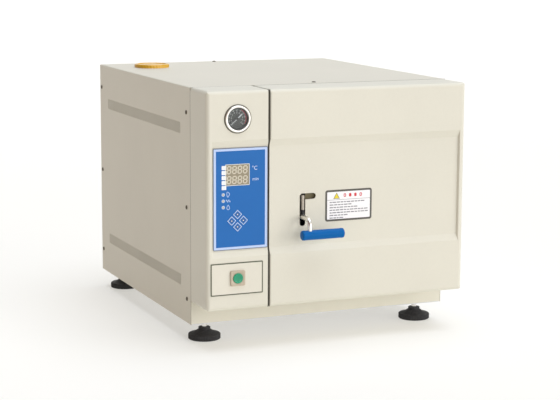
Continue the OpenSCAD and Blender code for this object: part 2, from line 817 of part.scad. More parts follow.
module hinge_brackets() {
    reach = knuckle_h / 2 + ear_gap + ear_h;
    color("dimgray") difference() {
        for (s = [-1, 1]) {
            z = chamber_z + s * bar_up;
            box([hinge_x - 51, y_front - 4, z - reach], [hinge_x - 28, y_front, z + reach]);
            for (e = ear_spans(z)) {
                box([hinge_x - 38, hinge_y - knuckle_r, e[0]], [hinge_x - 28, y_front - 4, e[1]]);
                box([hinge_x - 38, hinge_y - knuckle_r, e[0]], [hinge_x, hinge_y - 4, e[1]]);
                rod_z(hinge_x, hinge_y, e[0], e[1], knuckle_r);
            }
        }
        for (s = [-1, 1])
            rod_z(hinge_x, hinge_y, chamber_z + s * bar_up - 40, chamber_z + s * bar_up + 40, hinge_pin_d / 2 + slip);
    }
}

module hinge_pins() {
    reach = knuckle_h / 2 + ear_gap + ear_h;
    color("silver") for (s = [-1, 1]) {
        z = chamber_z + s * bar_up;
        rod_z(hinge_x, hinge_y, z - reach - 3, z + reach, hinge_pin_d / 2);
        rod_z(hinge_x, hinge_y, z + reach, z + reach + 3, hinge_pin_d / 2 + 2);
    }
}

module latch_keeper() {
    out = keeper_side + keeper_t;
    color("silver") union() {
        box([hook_x - 9, y_front - keeper_t, lever_z - 32], [hook_x + hook_w + 9, y_front, lever_z + 28]);
        for (x = [hook_x - out, hook_x + hook_w + keeper_side])
            box([x, y_strike, lever_z - 20], [x + keeper_t, y_front - keeper_t / 2, lever_z + strike_up + strike[1]]);
        box([hook_x - out, y_strike, lever_z + strike_up],
            [hook_x + hook_w + out, y_strike + strike[0], lever_z + strike_up + strike[1]]);
    }
}

// ---- Latch lever ----

module lever_brackets() {
    color("dimgray") for (x = [hook_x + hook_w + 5, shaft_end - 8]) difference() {
        union() {
            beam(x, x + 6) rounded([y_floor + sheet_t, lever_z - 14], [lever_y + 9, lever_z + 14], [0, 6, 6, 0]);
            box([x, y_floor + sheet_t, lever_z - 14], [x + 16, y_floor + sheet_t + 3, lever_z + 14]);
        }
        rod_x(x - over, x + 7, lever_y, lever_z, shaft_r + slip);
    }
}

module lever_arm() {
    r = rod_d / 2;
    y_bend = y_grip + rod_bend;
    color("silver") union() {
        rod_x(shaft_l, shaft_end, lever_y, lever_z, shaft_r);
        rod_x(lever_x - r - 1.5, lever_x + r + 1.5, lever_y, lever_z, shaft_r + 4);
        rod_y(lever_x, y_bend, lever_y, lever_z, r);
        translate([lever_x, y_bend, lever_z - rod_bend]) rotate([90, 0, -90])
            rotate_extrude(angle = 90) translate([rod_bend, 0]) circle(r = r, $fn = 32);
        rod_z(lever_x, y_grip, z_grip - 4, lever_z - rod_bend, r);
        rod_z(lever_x, y_skin + 24, lever_z, lever_z + 38, 3.8);
        rod_z(lever_x, y_skin + 24, lever_z + r, lever_z + r + 9, 6);
        beam(hook_x, hook_x + hook_w) translate([lever_y, lever_z]) polygon([
            [-6, -12], [hook_reach, -12], [hook_reach, lip_up], [hook_reach - lip_t, lip_up],
            [hook_reach - lip_t, -4], [8, -4], [8, 6], [-6, 6]
        ]);
    }
}

module lever_grip() {
    x0 = lever_x - grip_tail;
    color("royalblue") difference() {
        translate([x0, y_grip, z_grip]) rotate([0, 90, 0]) rotate_extrude() union() {
            square([grip_d / 2 - 1.5, grip_l]);
            translate([0, 1.5]) square([grip_d / 2, grip_l - 3]);
        }
        rod_z(lever_x, y_grip, z_grip - 4, z_grip + grip_d, rod_d / 2 + slip);
    }
}

// ---- Water tank, pump, valves and pipes ----

module water_tank() {
    top = tank_z + tank_h;
    color("white") difference() {
        union() {
            box([tank_x, tank_y, tank_z], [tank_x + tank_w, tank_y + tank_l, top]);
            rod_z(filler_x, filler_y, top - 1, z_top, neck_d / 2);
            rod_z(filler_x, filler_y, z_top, z_top + collar_t, collar_r);
        }
        box([tank_x + tank_t, tank_y + tank_t, tank_z + tank_t],
            [tank_x + tank_w - tank_t, tank_y + tank_l - tank_t, top - tank_t]);
        rod_z(filler_x, filler_y, top - tank_t - over, z_top + 5, neck_d / 2 - neck_t);
    }
}

module filler_cap() {
    r = cap_d / 2;
    color("goldenrod") difference() {
        union() {
            translate([filler_x, filler_y, z_top]) rotate_extrude($fn = 96) polygon([
                [0, 0], [r, 0], [r, cap_h - 3], [r - 1, cap_h - 1], [r - 3, cap_h], [0, cap_h]
            ]);
            rod_z(filler_x, filler_y, z_top - 10, z_top + 1, neck_d / 2 - neck_t - gap);
        }
        difference() {
            rod_z(filler_x, filler_y, z_top - over, z_top + collar_t + gap, collar_r + gap);
            rod_z(filler_x, filler_y, z_top - 2 * over, z_top + collar_t + over, neck_d / 2 - neck_t - gap);
        }
    }
}

pump_y = y_front + 200;
pump_x = x_left + 80;
pump_z = z_base + 36;

module water_pump() {
    color("dimgray") {
        rod_y(pump_x, pump_y, pump_y + 60, pump_z, 26);
        box([pump_x - 22, pump_y + 60, pump_z - 22], [pump_x + 22, pump_y + 100, pump_z + 22]);
        for (y = [pump_y + 8, pump_y + 78])
            box([pump_x - 20, y, z_base + sheet_t], [pump_x + 20, y + 10, pump_z - 20]);
    }
}

module solenoid_valves() {
    color("goldenrod") {
        box([block_x[0], y_block - 12, block_z[0]], [block_x[1], y_block + 12, block_z[1]]);
        for (x = [block_x[0] + 6, block_x[1] - 18])
            box([x, y_block - 12, z_base + sheet_t], [x + 12, y_block + 12, block_z[0]]);
        for (x = coil_at) rod_z(chamber_x + x, y_block, block_z[1], block_z[1] + 34, 14);
    }
}

module pipework() {
    r = pipe_d / 2;
    y_line = y_rear - 48;
    coil_x = [fan_x - 50, fan_x + 50];
    color("peru") {
        pipe([[chamber_x, y_port, chamber_z], [chamber_x, y_block, chamber_z], [chamber_x, y_block, block_z[1]]], r);
        pipe([[pump_x, pump_y + 100, pump_z], [pump_x, tank_y, pump_z]], r);
        pipe([[pump_x + 22, pump_y + 80, pump_z], [chamber_x - 84, pump_y + 80, pump_z],
            [chamber_x - 84, y_block - 12, pump_z]], r);
        pipe([[block_x[0], y_block, drain_z], [drain_x, y_block, drain_z], [drain_x, y_rear - 25, drain_z]], r);
        pipe([[gauge_x, y_skin + 26 + stem_l, gauge_z], [gauge_x, y_front + 20, gauge_z],
            [x_fascia + 30, y_front + 50, z_top - 30], [x_fascia + 30, y_line, z_top - 30],
            [chamber_x, y_line, z_top - 30], [chamber_x, y_line, ring_z]], line_d / 2);
        pipe([[chamber_x, y_port, ring_z], [chamber_x, y_rear - 25, ring_z]], r);
        for (i = [0:4]) {
            z = drain_z + i * 22;
            rod_x(i == 0 ? block_x[1] : coil_x[0], coil_x[1], y_block, z, r);
            if (i < 4) {
                end = i % 2 == 0 ? coil_x[1] : coil_x[0];
                translate([end, y_block, z + 11]) rotate([90, 0, 0]) rotate([0, 0, i % 2 == 0 ? -90 : 90])
                    rotate_extrude(angle = 180) translate([11, 0]) circle(r = r, $fn = 24);
            }
        }
        for (x = [coil_x[0] + 20, coil_x[1] - 20])
            box([x, y_block - 8, z_base + sheet_t], [x + 1, y_fan, drain_z + 96]);
    }
}

// ---- Fan ----

module fan_frame() {
    color("dimgray") difference() {
        union() {
            difference() {
                slab(y_fan, y_fan + fan_t) plate_outline([fan_x, fan_z], fan_w, fan_w, 5);
                rod_y(fan_x, y_fan - over, y_fan + fan_t + over, fan_z, fan_r);
            }
            rod_y(fan_x, y_fan + fan_t - 6, y_fan + fan_t, fan_z, fan_hub_r);
            for (a = [0:90:270]) translate([fan_x, 0, fan_z]) rotate([0, a + 45, 0])
                box([fan_hub_r - 2, y_fan + fan_t - 4, -3], [fan_r + 2, y_fan + fan_t, 3]);
        }
        rod_y(fan_x, y_fan, y_fan + fan_t - 2, fan_z, 3 + slip);
    }
}

module fan_rotor() {
    y0 = y_fan + 3;
    y1 = y_fan + fan_t - 7;
    color("black") {
        rod_y(fan_x, y0, y1, fan_z, fan_hub_r);
        rod_y(fan_x, y1, y_fan + fan_t - 3, fan_z, 3);
        intersection() {
            for (i = [0:fan_blades - 1]) translate([fan_x, (y0 + y1) / 2, fan_z])
                rotate([0, i * 360 / fan_blades, 0]) rotate([40, 0, 0])
                    translate([0, -13, -1]) cube([fan_r, 26, 2]);
            rod_y(fan_x, y0, y1, fan_z, fan_r - 2);
        }
    }
}

// ---- Rear fittings ----

module safety_valve() {
    color("goldenrod") difference() {
        union() {
            rod_y(ring_x, y_rear - 25, y_rear, ring_z, 8);
            rod_y(ring_x, y_rear, y_rear + 16, ring_z, 11);
        }
        rod_y(ring_x, y_rear + 2, y_rear + 17, ring_z, 2.5 + slip);
    }
}

module pull_ring() {
    color("silver") {
        rod_y(ring_x, y_rear + 3, y_rear + 20, ring_z, 2.5);
        translate([ring_x, y_rear + 20 + 8.5, ring_z]) rotate([0, 90, 0])
            rotate_extrude() translate([7.5, 0]) circle(r = 1.3, $fn = 24);
    }
}

module drain_valve() {
    w = valve_w / 2;
    color("goldenrod") difference() {
        union() {
            rod_y(drain_x, y_rear - 25, y_rear, drain_z, 8);
            box([drain_x - w, y_rear, drain_z - w], [drain_x + w, y_rear + 16, drain_z + w]);
            rod_y(drain_x, y_rear + 16, y_rear + 16 + spigot_l, drain_z, spigot_d / 2);
        }
        rod_y(drain_x, y_rear - 26, y_rear + 17 + spigot_l, drain_z, spigot_d / 2 - 2);
        rod_z(drain_x, y_rear + 8, drain_z + w - 6, drain_z + w + over, 3 + slip);
    }
}

module drain_lever() {
    z = drain_z + valve_w / 2;
    color("crimson") {
        rod_z(drain_x, y_rear + 8, z - 5, z + 6, 3);
        post(z + 3, z + 6) rounded([drain_x - 6, y_rear + 2], [drain_x + 46, y_rear + 14], [6, 5, 5, 6]);
    }
}

module power_inlet() {
    c = [inlet_x, inlet_z];
    color("black") {
        difference() {
            union() {
                slab(y_rear, y_rear + 3) plate_outline(c, inlet_w[0], inlet_w[1], 3);
                slab(y_rear - 26, y_rear) plate_outline(c, inlet_w[0] - 6, inlet_w[1] - 6, 0);
            }
            slab(y_rear - 20, y_rear + 4) plate_outline(c, inlet_w[0] - 12, inlet_w[1] - 12, 2);
        }
        for (x = [-9, 0, 9]) box([c.x + x - 1, y_rear - 20, c.y - 3], [c.x + x + 1, y_rear - 3, c.y + 3]);
    }
}

// ---- Electronics ----

module control_electronics() {
    x0 = x_left + 2 * sheet_t + 8;
    lo = [y_front + 60, z_base + 170];
    color("green") {
        box([x0, lo.x, lo.y], [x0 + 1.6, lo.x + 150, lo.y + 180]);
        for (y = [lo.x + 8, lo.x + 142], z = [lo.y + 8, lo.y + 172]) rod_x(x_left + sheet_t, x0, y, z, 3);
        for (i = [0:3]) box([x0 + 1.6, lo.x + 14 + i * 34, lo.y + 24], [x0 + 16, lo.x + 32 + i * 34, lo.y + 48]);
        box([x0 + 1.6, lo.x + 30, lo.y + 80], [x0 + 5, lo.x + 62, lo.y + 112]);
        box([x0 + 1.6, lo.x + 20, lo.y + 140], [x0 + 12, lo.x + 120, lo.y + 154]);
        box([x_left + 40, lo.x, z_base + sheet_t], [x_left + 110, lo.x + 60, z_base + 62]);
    }
}

// ---- Feet ----

module foot_pad(p) {
    r = foot_pad_d / 2;
    color("black") translate([p.x, p.y, 0]) rotate_extrude($fn = 96) polygon([
        [0, 0], [r - 1, 0], [r, 1], [r, foot_pad_h - 1], [r - 1, foot_pad_h], [15, foot_pad_h + 7],
        [13, foot_pad_h + 9], [13, foot_pad_h + 14], [0, foot_pad_h + 14]
    ]);
}

module foot_stud(p) {
    nut_h = 8;
    color("silver") {
        rod_z(p.x, p.y, foot_pad_h + 14, z_base + 17, foot_stud_d / 2);
        translate([p.x, p.y, z_base - nut_h]) cylinder(r = foot_stud_d * 0.85, h = nut_h, $fn = 6);
    }
}

base_tray();
front_frame();
rear_panel();
outer_hood();
case_screws();
control_fascia();
gauge_case();
gauge_dial();
gauge_needle();
gauge_lens();
keypad_panel();
display_module();
display_board();
key_cap([0, 1]);  // key_up
key_cap([0, -1]);  // key_down
key_cap([-1, 0]);  // key_left
key_cap([1, 0]);  // key_right
switch_plate();
switch_bezel();
power_button();
chamber();
insulation_jacket();
chamber_saddles();
heater_element();
tray_rack();
tray(tray_z[2]);  // tray_upper
tray(tray_z[1]);  // tray_middle
tray(tray_z[0]);  // tray_lower
door_cover();
door_plate();
door_gasket();
door_yoke();
notice_label();
hinge_brackets();
hinge_pins();
latch_keeper();
lever_brackets();
lever_arm();
lever_grip();
water_tank();
filler_cap();
water_pump();
solenoid_valves();
pipework();
fan_frame();
fan_rotor();
safety_valve();
pull_ring();
drain_valve();
drain_lever();
power_inlet();
control_electronics();
foot_pad(foot_at[0]);  // foot_pad_fl
foot_pad(foot_at[1]);  // foot_pad_fr
foot_pad(foot_at[2]);  // foot_pad_rl
foot_pad(foot_at[3]);  // foot_pad_rr
foot_stud(foot_at[0]);  // foot_stud_fl
foot_stud(foot_at[1]);  // foot_stud_fr
foot_stud(foot_at[2]);  // foot_stud_rl
foot_stud(foot_at[3]);  // foot_stud_rr
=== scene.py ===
import math

import bmesh
import bpy
import numpy as np
from mathutils import Matrix, Vector


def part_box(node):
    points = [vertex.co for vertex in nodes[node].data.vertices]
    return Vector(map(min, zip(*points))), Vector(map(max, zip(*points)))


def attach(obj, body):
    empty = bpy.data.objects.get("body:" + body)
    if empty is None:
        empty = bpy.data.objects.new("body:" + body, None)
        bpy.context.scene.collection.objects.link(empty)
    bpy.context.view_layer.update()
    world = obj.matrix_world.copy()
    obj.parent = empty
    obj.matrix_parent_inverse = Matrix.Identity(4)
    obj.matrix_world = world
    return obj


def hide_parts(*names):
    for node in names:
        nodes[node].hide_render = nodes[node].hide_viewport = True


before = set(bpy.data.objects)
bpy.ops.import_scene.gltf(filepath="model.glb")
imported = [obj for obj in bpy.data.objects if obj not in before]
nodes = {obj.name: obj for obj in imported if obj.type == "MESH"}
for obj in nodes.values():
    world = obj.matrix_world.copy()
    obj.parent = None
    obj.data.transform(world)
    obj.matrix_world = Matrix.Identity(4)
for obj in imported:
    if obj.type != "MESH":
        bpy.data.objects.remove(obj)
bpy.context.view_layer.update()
mm = 0.001

# Places taken from the frame
hoodLow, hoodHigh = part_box("outer_hood")
fasciaLow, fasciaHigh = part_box("control_fascia")
doorLow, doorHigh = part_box("door_cover")
panelLow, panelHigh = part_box("keypad_panel")
plateLow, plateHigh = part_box("switch_plate")
labelLow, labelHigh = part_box("notice_label")
displayLow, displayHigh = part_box("display_module")
gripLow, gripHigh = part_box("lever_grip")
skinY = fasciaLow.y
print("frame loaded, front skin at", round(skinY, 4))

# Camera, lights and floor
cameraPlace = {"fromCorner": (-1.1454, -3.1555), "height": 0.864, "yaw": 0.40419, "pitch": 0.16312, "roll": 0.00474,
               "lens": 104.04, "sensor": 36.0}


def makeCamera(p):
    # Looks along the yaw and pitch given, both counted from the +Y axis, then rolls about its own axis
    forward = Vector((math.sin(p["yaw"]) * math.cos(p["pitch"]), math.cos(p["yaw"]) * math.cos(p["pitch"]),
                      -math.sin(p["pitch"])))
    right = Vector((math.cos(p["yaw"]), -math.sin(p["yaw"]), 0))
    up = right.cross(forward)
    turnedRight = math.cos(p["roll"]) * right + math.sin(p["roll"]) * up
    turnedUp = turnedRight.cross(forward)
    turn = Matrix((turnedRight, turnedUp, -forward)).transposed().to_4x4()
    data = bpy.data.cameras.new("camera")
    data.lens, data.sensor_width = p["lens"], p["sensor"]
    camera = bpy.data.objects.new("camera", data)
    corner = (hoodLow.x + p["fromCorner"][0], hoodLow.y + p["fromCorner"][1], p["height"])
    camera.matrix_world = Matrix.Translation(corner) @ turn
    bpy.context.scene.collection.objects.link(camera)
    bpy.context.scene.camera = camera


lampSettings = {
    "key": {"towards": (0.72, -0.68, 0.16), "strength": 1.60, "spread": 40, "color": (1.0, 0.97, 0.97)},
    "front": {"towards": (0.08, -0.98, 0.16), "strength": 0.72, "spread": 30, "color": (1.0, 0.98, 1.02)},
    "top": {"towards": (0.15, -0.10, 0.98), "strength": 2.5, "spread": 55, "color": (0.94, 1.0, 1.10)},
    "left": {"towards": (-0.95, -0.25, 0.20), "strength": 0.2, "spread": 60, "color": (1.0, 0.3, 0.04)},
    "back": {"towards": (0.35, 0.90, 0.30), "strength": 0.7, "spread": 60, "color": (1.0, 1.0, 1.0)},
}


# Soft light that comes evenly from one side, like a big window far away
def makeLamp(name, s):
    data = bpy.data.lights.new(name, "SUN")
    data.angle, data.energy, data.color = math.radians(s["spread"]), s["strength"], s["color"]
    lamp = bpy.data.objects.new(name, data)
    lamp.rotation_euler = Vector(s["towards"]).to_track_quat("Z", "Y").to_euler()
    bpy.context.scene.collection.objects.link(lamp)


worldLight = {"color": (1.0, 0.88, 0.7), "strength": 0.08}


def makeWorld(s):
    world = bpy.data.worlds.new("studio")
    world.use_nodes = True
    background = world.node_tree.nodes["Background"]
    background.inputs["Color"].default_value = (*s["color"], 1)
    background.inputs["Strength"].default_value = s["strength"]
    bpy.context.scene.world = world


makeCamera(cameraPlace)
for lampName, lampValues in lampSettings.items():
    makeLamp(lampName, lampValues)
makeWorld(worldLight)
bpy.context.scene.view_settings.view_transform = "Standard"

# Meshes


weld = {"apart": 2e-7, "tiny": 1e-8, "sharp": 32}


# Joins points that coincide, closes poles, turns every face outwards and keeps edges sharper than the angle crisp
def tidyMesh(mesh):
    work = bmesh.new()
    work.from_mesh(mesh)
    bmesh.ops.remove_doubles(work, verts=work.verts, dist=weld["apart"])
    bmesh.ops.dissolve_degenerate(work, dist=weld["tiny"], edges=work.edges)
    bmesh.ops.recalc_face_normals(work, faces=work.faces)
    work.to_mesh(mesh)
    work.free()
    mesh.shade_smooth()
    mesh.set_sharp_from_angle(angle=math.radians(weld["sharp"]))
    return mesh


# A grid of points, rows by columns, becomes quads; either way round may be joined, and the end rows may be capped
def gridMesh(points, joinRows=False, joinColumns=True, caps=False):
    rows, columns = points.shape[:2]
    i = np.arange(rows if joinRows else rows - 1)[:, None]
    j = np.arange(columns if joinColumns else columns - 1)[None, :]
    nextI, nextJ = (i + 1) % rows, (j + 1) % columns
    corners = [i * columns + j, i * columns + nextJ, nextI * columns + nextJ, nextI * columns + j]
    faces = np.stack([c.ravel() for c in corners], axis=1).tolist()
    if caps:
        faces.append(list(range(columns)))
        faces.append(list(range((rows - 1) * columns, rows * columns)))
    mesh = bpy.data.meshes.new("surface")
    mesh.from_pydata(points.reshape(-1, 3).tolist(), [], faces)
    return tidyMesh(mesh)


# Many flat outlines of the same number of points, drawn in x and z, each given a thickness from yBack to yFront
def printedMesh(outlines, yBack, yFront):
    count, n = outlines.shape[:2]
    points = np.zeros((count, 2, n, 3))
    points[..., 0] = outlines[:, None, :, 0]
    points[..., 2] = outlines[:, None, :, 1]
    points[:, 0, :, 1], points[:, 1, :, 1] = yBack, yFront
    base = np.arange(count)[:, None] * 2 * n
    ring = np.arange(n)
    side = np.stack([ring, (ring + 1) % n, (ring + 1) % n + n, ring + n], axis=1)
    sides = (base[:, :, None] + side[None]).reshape(-1, 4).tolist()
    ends = np.concatenate([base + ring, base + n + ring[::-1]]).tolist()
    mesh = bpy.data.meshes.new("surface")
    mesh.from_pydata(points.reshape(-1, 3).tolist(), [], sides + ends)
    return tidyMesh(mesh)


# A profile of radius and distance, turned about an axis; ripple swells the radius with the angle
def latheMesh(profile, centre, axis="z", segments=96, ripple=None):
    profile = np.asarray(profile, float)
    angle = np.linspace(0, 2 * np.pi, segments, endpoint=False)
    radius = profile[:, :1] * np.ones_like(angle)
    if ripple is not None:
        radius = radius + ripple(profile, angle)
    u, v = radius * np.cos(angle), radius * np.sin(angle)
    w = profile[:, 1:] * np.ones_like(angle)
    order = {"z": (u, v, w), "y": (u, w, v), "x": (w, u, v)}[axis]
    return gridMesh(np.stack(order, axis=2) + np.array(centre))


# Points of a circle of radius one at the angles given
def unitCircle(angle):
    return np.stack([np.cos(angle), np.sin(angle)], axis=-1)


# Rectangle with round corners: the points of four quarter circles, drawn counter-clockwise
def roundRect(centre, w, h, r, steps=8):
    quarter = np.linspace(0, np.pi / 2, steps)
    angle = (np.arange(4)[:, None] * np.pi / 2 + quarter).ravel()
    sign = np.repeat(np.array([[1, 1], [-1, 1], [-1, -1], [1, -1]]), steps, axis=0)
    arc = unitCircle(angle) * r
    return np.array(centre) + sign * (np.array([w, h]) / 2 - r) + arc


def middle(low, high):
    return [(a + b) / 2 for a, b in zip(low, high)]


# Quarter circle that rolls over an edge, from the side at radius r in to the face at y, as radius and distance
def rolledEdge(r, y, roll, side, steps):
    turn = np.linspace(0, np.pi / 2, steps)
    return np.stack([r - roll * (1 - np.cos(turn)), y + side * roll * (1 - np.sin(turn))], axis=1)


# An outline drawn in x and z becomes points at one y
def standUp(outline, y):
    return np.stack([outline[:, 0], np.full(len(outline), y), outline[:, 1]], axis=1)


# Circle drawn in x and z, counter-clockwise from the right
def circleOutline(centre, r, n=28):
    return np.array(centre) + r * unitCircle(np.linspace(0, 2 * np.pi, n, endpoint=False))


# Flat ring between two outlines with as many points, from yBack to yFront
def ringMesh(outer, inner, yBack, yFront):
    levels = [(outer, yBack), (outer, yFront), (inner, yFront), (inner, yBack)]
    return gridMesh(np.stack([standUp(outline, y) for outline, y in levels]), joinRows=True)


# Round wire along a flat closed or open path; the path's plane has the unit normal given
def wireMesh(path, radius, normal, closed=True, sides=10):
    path = np.asarray(path, float)
    ahead, behind = np.roll(path, -1, axis=0), np.roll(path, 1, axis=0)
    if not closed:
        ahead[-1], behind[0] = path[-1], path[0]
    along = ahead - behind
    along = along / np.linalg.norm(along, axis=1, keepdims=True)
    across = np.cross(normal, along)
    angle = np.linspace(0, 2 * np.pi, sides, endpoint=False)[None, :, None]
    ring = np.cos(angle) * across[:, None, :] + np.sin(angle) * np.asarray(normal, float)[None, None, :]
    return gridMesh(path[:, None, :] + radius * ring, joinRows=closed, caps=not closed)


# Puts a mesh in the scene, riding on its body; it may take a material slot and replace plain nodes
def addPiece(name, mesh, body, material, replaces=()):
    piece = bpy.data.objects.new(name, mesh)
    mesh.name = name
    mesh.materials.append(material)
    bpy.context.scene.collection.objects.link(piece)
    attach(piece, body)
    if replaces:
        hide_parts(*replaces)


# Flat outlines at y, given a thickness towards the front
def addFlat(name, outlines, y, thick, body, material):
    addPiece(name, printedMesh(outlines, y, y - thick), body, material)


# Shader groups


# Inputs take their kind from their first value: a number, three numbers for a vector or four for a colour
def newGroup(name, inputs, outputs):
    group = bpy.data.node_groups.new(name, "ShaderNodeTree")
    for label, value in inputs.items():
        kind = "Float" if isinstance(value, float) else "Vector" if len(value) == 3 else "Color"
        socket = group.interface.new_socket(label, in_out="INPUT", socket_type="NodeSocket" + kind)
        socket.default_value = value
    for label, kind in outputs.items():
        group.interface.new_socket(label, in_out="OUTPUT", socket_type="NodeSocket" + kind)
    start = group.nodes.new("NodeGroupInput")
    end = group.nodes.new("NodeGroupOutput")
    return group, start, end


# Links a socket to an input, or sets the input to a plain number, vector or colour
def feed(tree, socket, value):
    if isinstance(value, bpy.types.NodeSocket):
        tree.links.new(value, socket)
    elif isinstance(value, (int, float)):
        socket.default_value = value
    else:
        socket.default_value = (*value, 1)[:len(socket.default_value)]


# One Math node whose inputs are sockets or plain numbers
def calc(tree, operation, *values):
    node = tree.nodes.new("ShaderNodeMath")
    node.operation = operation
    for socket, value in zip(node.inputs, values):
        feed(tree, socket, value)
    return node.outputs[0]


def noiseNode(tree, vector, scale, detail=2.0, roughness=0.5):
    node = tree.nodes.new("ShaderNodeTexNoise")
    node.inputs["Detail"].default_value = detail
    node.inputs["Roughness"].default_value = roughness
    feed(tree, node.inputs["Vector"], vector)
    feed(tree, node.inputs["Scale"], scale)
    return node.outputs["Fac"]


def objectPlace(tree):
    return tree.nodes.new("ShaderNodeTexCoord").outputs["Object"]


# Bump from a height; its strength is the group's own Depth
def addBump(group, start, end, height, distance):
    bump = group.nodes.new("ShaderNodeBump")
    bump.inputs["Distance"].default_value = distance
    group.links.new(start.outputs["Depth"], bump.inputs["Strength"])
    group.links.new(height, bump.inputs["Height"])
    group.links.new(bump.outputs["Normal"], end.inputs["Normal"])


# Fine pebbled skin of powder paint or moulded plastic: noise lifts the surface
def buildPeel():
    group, start, end = newGroup("powderPeel", {"Scale": 600.0, "Depth": 0.2},
                                 {"Normal": "Vector", "Height": "Float"})
    height = noiseNode(group, objectPlace(group), start.outputs["Scale"], 3.0)
    addBump(group, start, end, height, 0.4 * mm)
    group.links.new(height, end.inputs["Height"])
    return group


# Slow drift of tone over a panel: broad noise with a little fine noise scales the colour by the amount given
def buildDrift():
    group, start, end = newGroup("toneDrift", {"Color": (0.8, 0.8, 0.8, 1), "Amount": 0.04, "Scale": 5.0},
                                 {"Color": "Color"})
    place = objectPlace(group)
    broad = noiseNode(group, place, start.outputs["Scale"], 3.0, 0.6)
    fine = noiseNode(group, place, 190.0, 2.0)
    both = calc(group, "ADD", calc(group, "MULTIPLY", broad, 0.75), calc(group, "MULTIPLY", fine, 0.25))
    swing = calc(group, "MULTIPLY", calc(group, "SUBTRACT", both, 0.5), start.outputs["Amount"])
    factor = calc(group, "ADD", calc(group, "MULTIPLY", swing, 4.0), 1.0)
    scale = group.nodes.new("ShaderNodeVectorMath")
    scale.operation = "SCALE"
    group.links.new(start.outputs["Color"], scale.inputs[0])
    group.links.new(factor, scale.inputs["Scale"])
    group.links.new(scale.outputs["Vector"], end.inputs["Color"])
    return group


# Dust that settles on what faces up: the upward part of the normal times the square of a fine noise
def buildDust():
    group, start, end = newGroup("settledDust", {"Amount": 0.1}, {"Mask": "Float"})
    geometry = group.nodes.new("ShaderNodeNewGeometry")
    split = group.nodes.new("ShaderNodeSeparateXYZ")
    group.links.new(geometry.outputs["Normal"], split.inputs[0])
    facing = calc(group, "MAXIMUM", split.outputs["Z"], 0.0)
    speck = calc(group, "POWER", noiseNode(group, objectPlace(group), 260.0, 4.0, 0.7), 2.0)
    mask = calc(group, "MULTIPLY", calc(group, "MULTIPLY", facing, speck), start.outputs["Amount"])
    group.links.new(mask, end.inputs["Mask"])
    return group


# Fine lines left by a brush or a mill: noise stretched along one axis
def buildBrush():
    group, start, end = newGroup("brushLines", {"Stretch": (400.0, 8.0, 400.0), "Depth": 0.2},
                                 {"Lines": "Float", "Normal": "Vector"})
    stretch = group.nodes.new("ShaderNodeVectorMath")
    stretch.operation = "MULTIPLY"
    group.links.new(objectPlace(group), stretch.inputs[0])
    group.links.new(start.outputs["Stretch"], stretch.inputs[1])
    lines = noiseNode(group, stretch.outputs["Vector"], 1.0, 4.0, 0.6)
    addBump(group, start, end, lines, 0.2 * mm)
    group.links.new(lines, end.inputs["Lines"])
    return group


# Printed field: 1 inside a rectangle with round corners that is drawn in x and z, 0 outside
def buildField():
    inputs = {"Centre X": 0.0, "Centre Z": 0.0, "Half Width": 0.05, "Half Height": 0.05, "Radius": 0.003}
    group, start, end = newGroup("printedField", inputs, {"Mask": "Float"})
    split = group.nodes.new("ShaderNodeSeparateXYZ")
    group.links.new(objectPlace(group), split.inputs[0])
    reach = []
    for axis, half in (("X", "Half Width"), ("Z", "Half Height")):
        away = calc(group, "ABSOLUTE", calc(group, "SUBTRACT", split.outputs[axis], start.outputs["Centre " + axis]))
        inner = calc(group, "SUBTRACT", start.outputs[half], start.outputs["Radius"])
        reach.append(calc(group, "SUBTRACT", away, inner))
    outX, outZ = (calc(group, "MAXIMUM", r, 0.0) for r in reach)
    corner = calc(group, "SQRT", calc(group, "ADD", calc(group, "MULTIPLY", outX, outX),
                                      calc(group, "MULTIPLY", outZ, outZ)))
    inside = calc(group, "MINIMUM", calc(group, "MAXIMUM", *reach), 0.0)
    distance = calc(group, "SUBTRACT", calc(group, "ADD", corner, inside), start.outputs["Radius"])
    mask = calc(group, "LESS_THAN", distance, 0.0)
    group.links.new(mask, end.inputs["Mask"])
    return group


peel, drift, dust, brush, field = buildPeel(), buildDrift(), buildDust(), buildBrush(), buildField()

# Materials


# A new material with one Principled shader whose plain sockets take the values given
def startMaterial(name, **values):
    material = bpy.data.materials.new(name)
    material.use_nodes = True
    shader = material.node_tree.nodes["Principled BSDF"]
    for label, value in values.items():
        feed(material.node_tree, shader.inputs[label.replace("_", " ")], value)
    return material, material.node_tree, shader


def useGroup(tree, group, **values):
    node = tree.nodes.new("ShaderNodeGroup")
    node.node_tree = group
    for label, value in values.items():
        feed(tree, node.inputs[label.replace("_", " ")], value)
    return node


# A colour, socket or plain, with a drift of tone over the surface
def tonedColor(tree, color, amount, scale):
    return useGroup(tree, drift, Color=color, Amount=amount, Scale=scale).outputs["Color"]


# Mixes two colours, each a socket or a plain colour, by a mask
def mixColor(tree, mask, a, b):
    node = tree.nodes.new("ShaderNodeMix")
    node.data_type = "RGBA"
    factorInput, colorInputA, colorInputB, colorOutput = 0, 6, 7, 2
    for i, value in ((factorInput, mask), (colorInputA, a), (colorInputB, b)):
        feed(tree, node.inputs[i], value)
    return node.outputs[colorOutput]


# Value that follows a mask from low to high
def ranged(tree, mask, low, high):
    return calc(tree, "ADD", calc(tree, "MULTIPLY", mask, high - low), low)


# Sends a colour, a roughness that follows a mask between two values, and a normal to the shader
def finishShader(tree, shader, color, mask, low, high, normal):
    tree.links.new(color, shader.inputs["Base Color"])
    tree.links.new(ranged(tree, mask, low, high), shader.inputs["Roughness"])
    tree.links.new(normal, shader.inputs["Normal"])


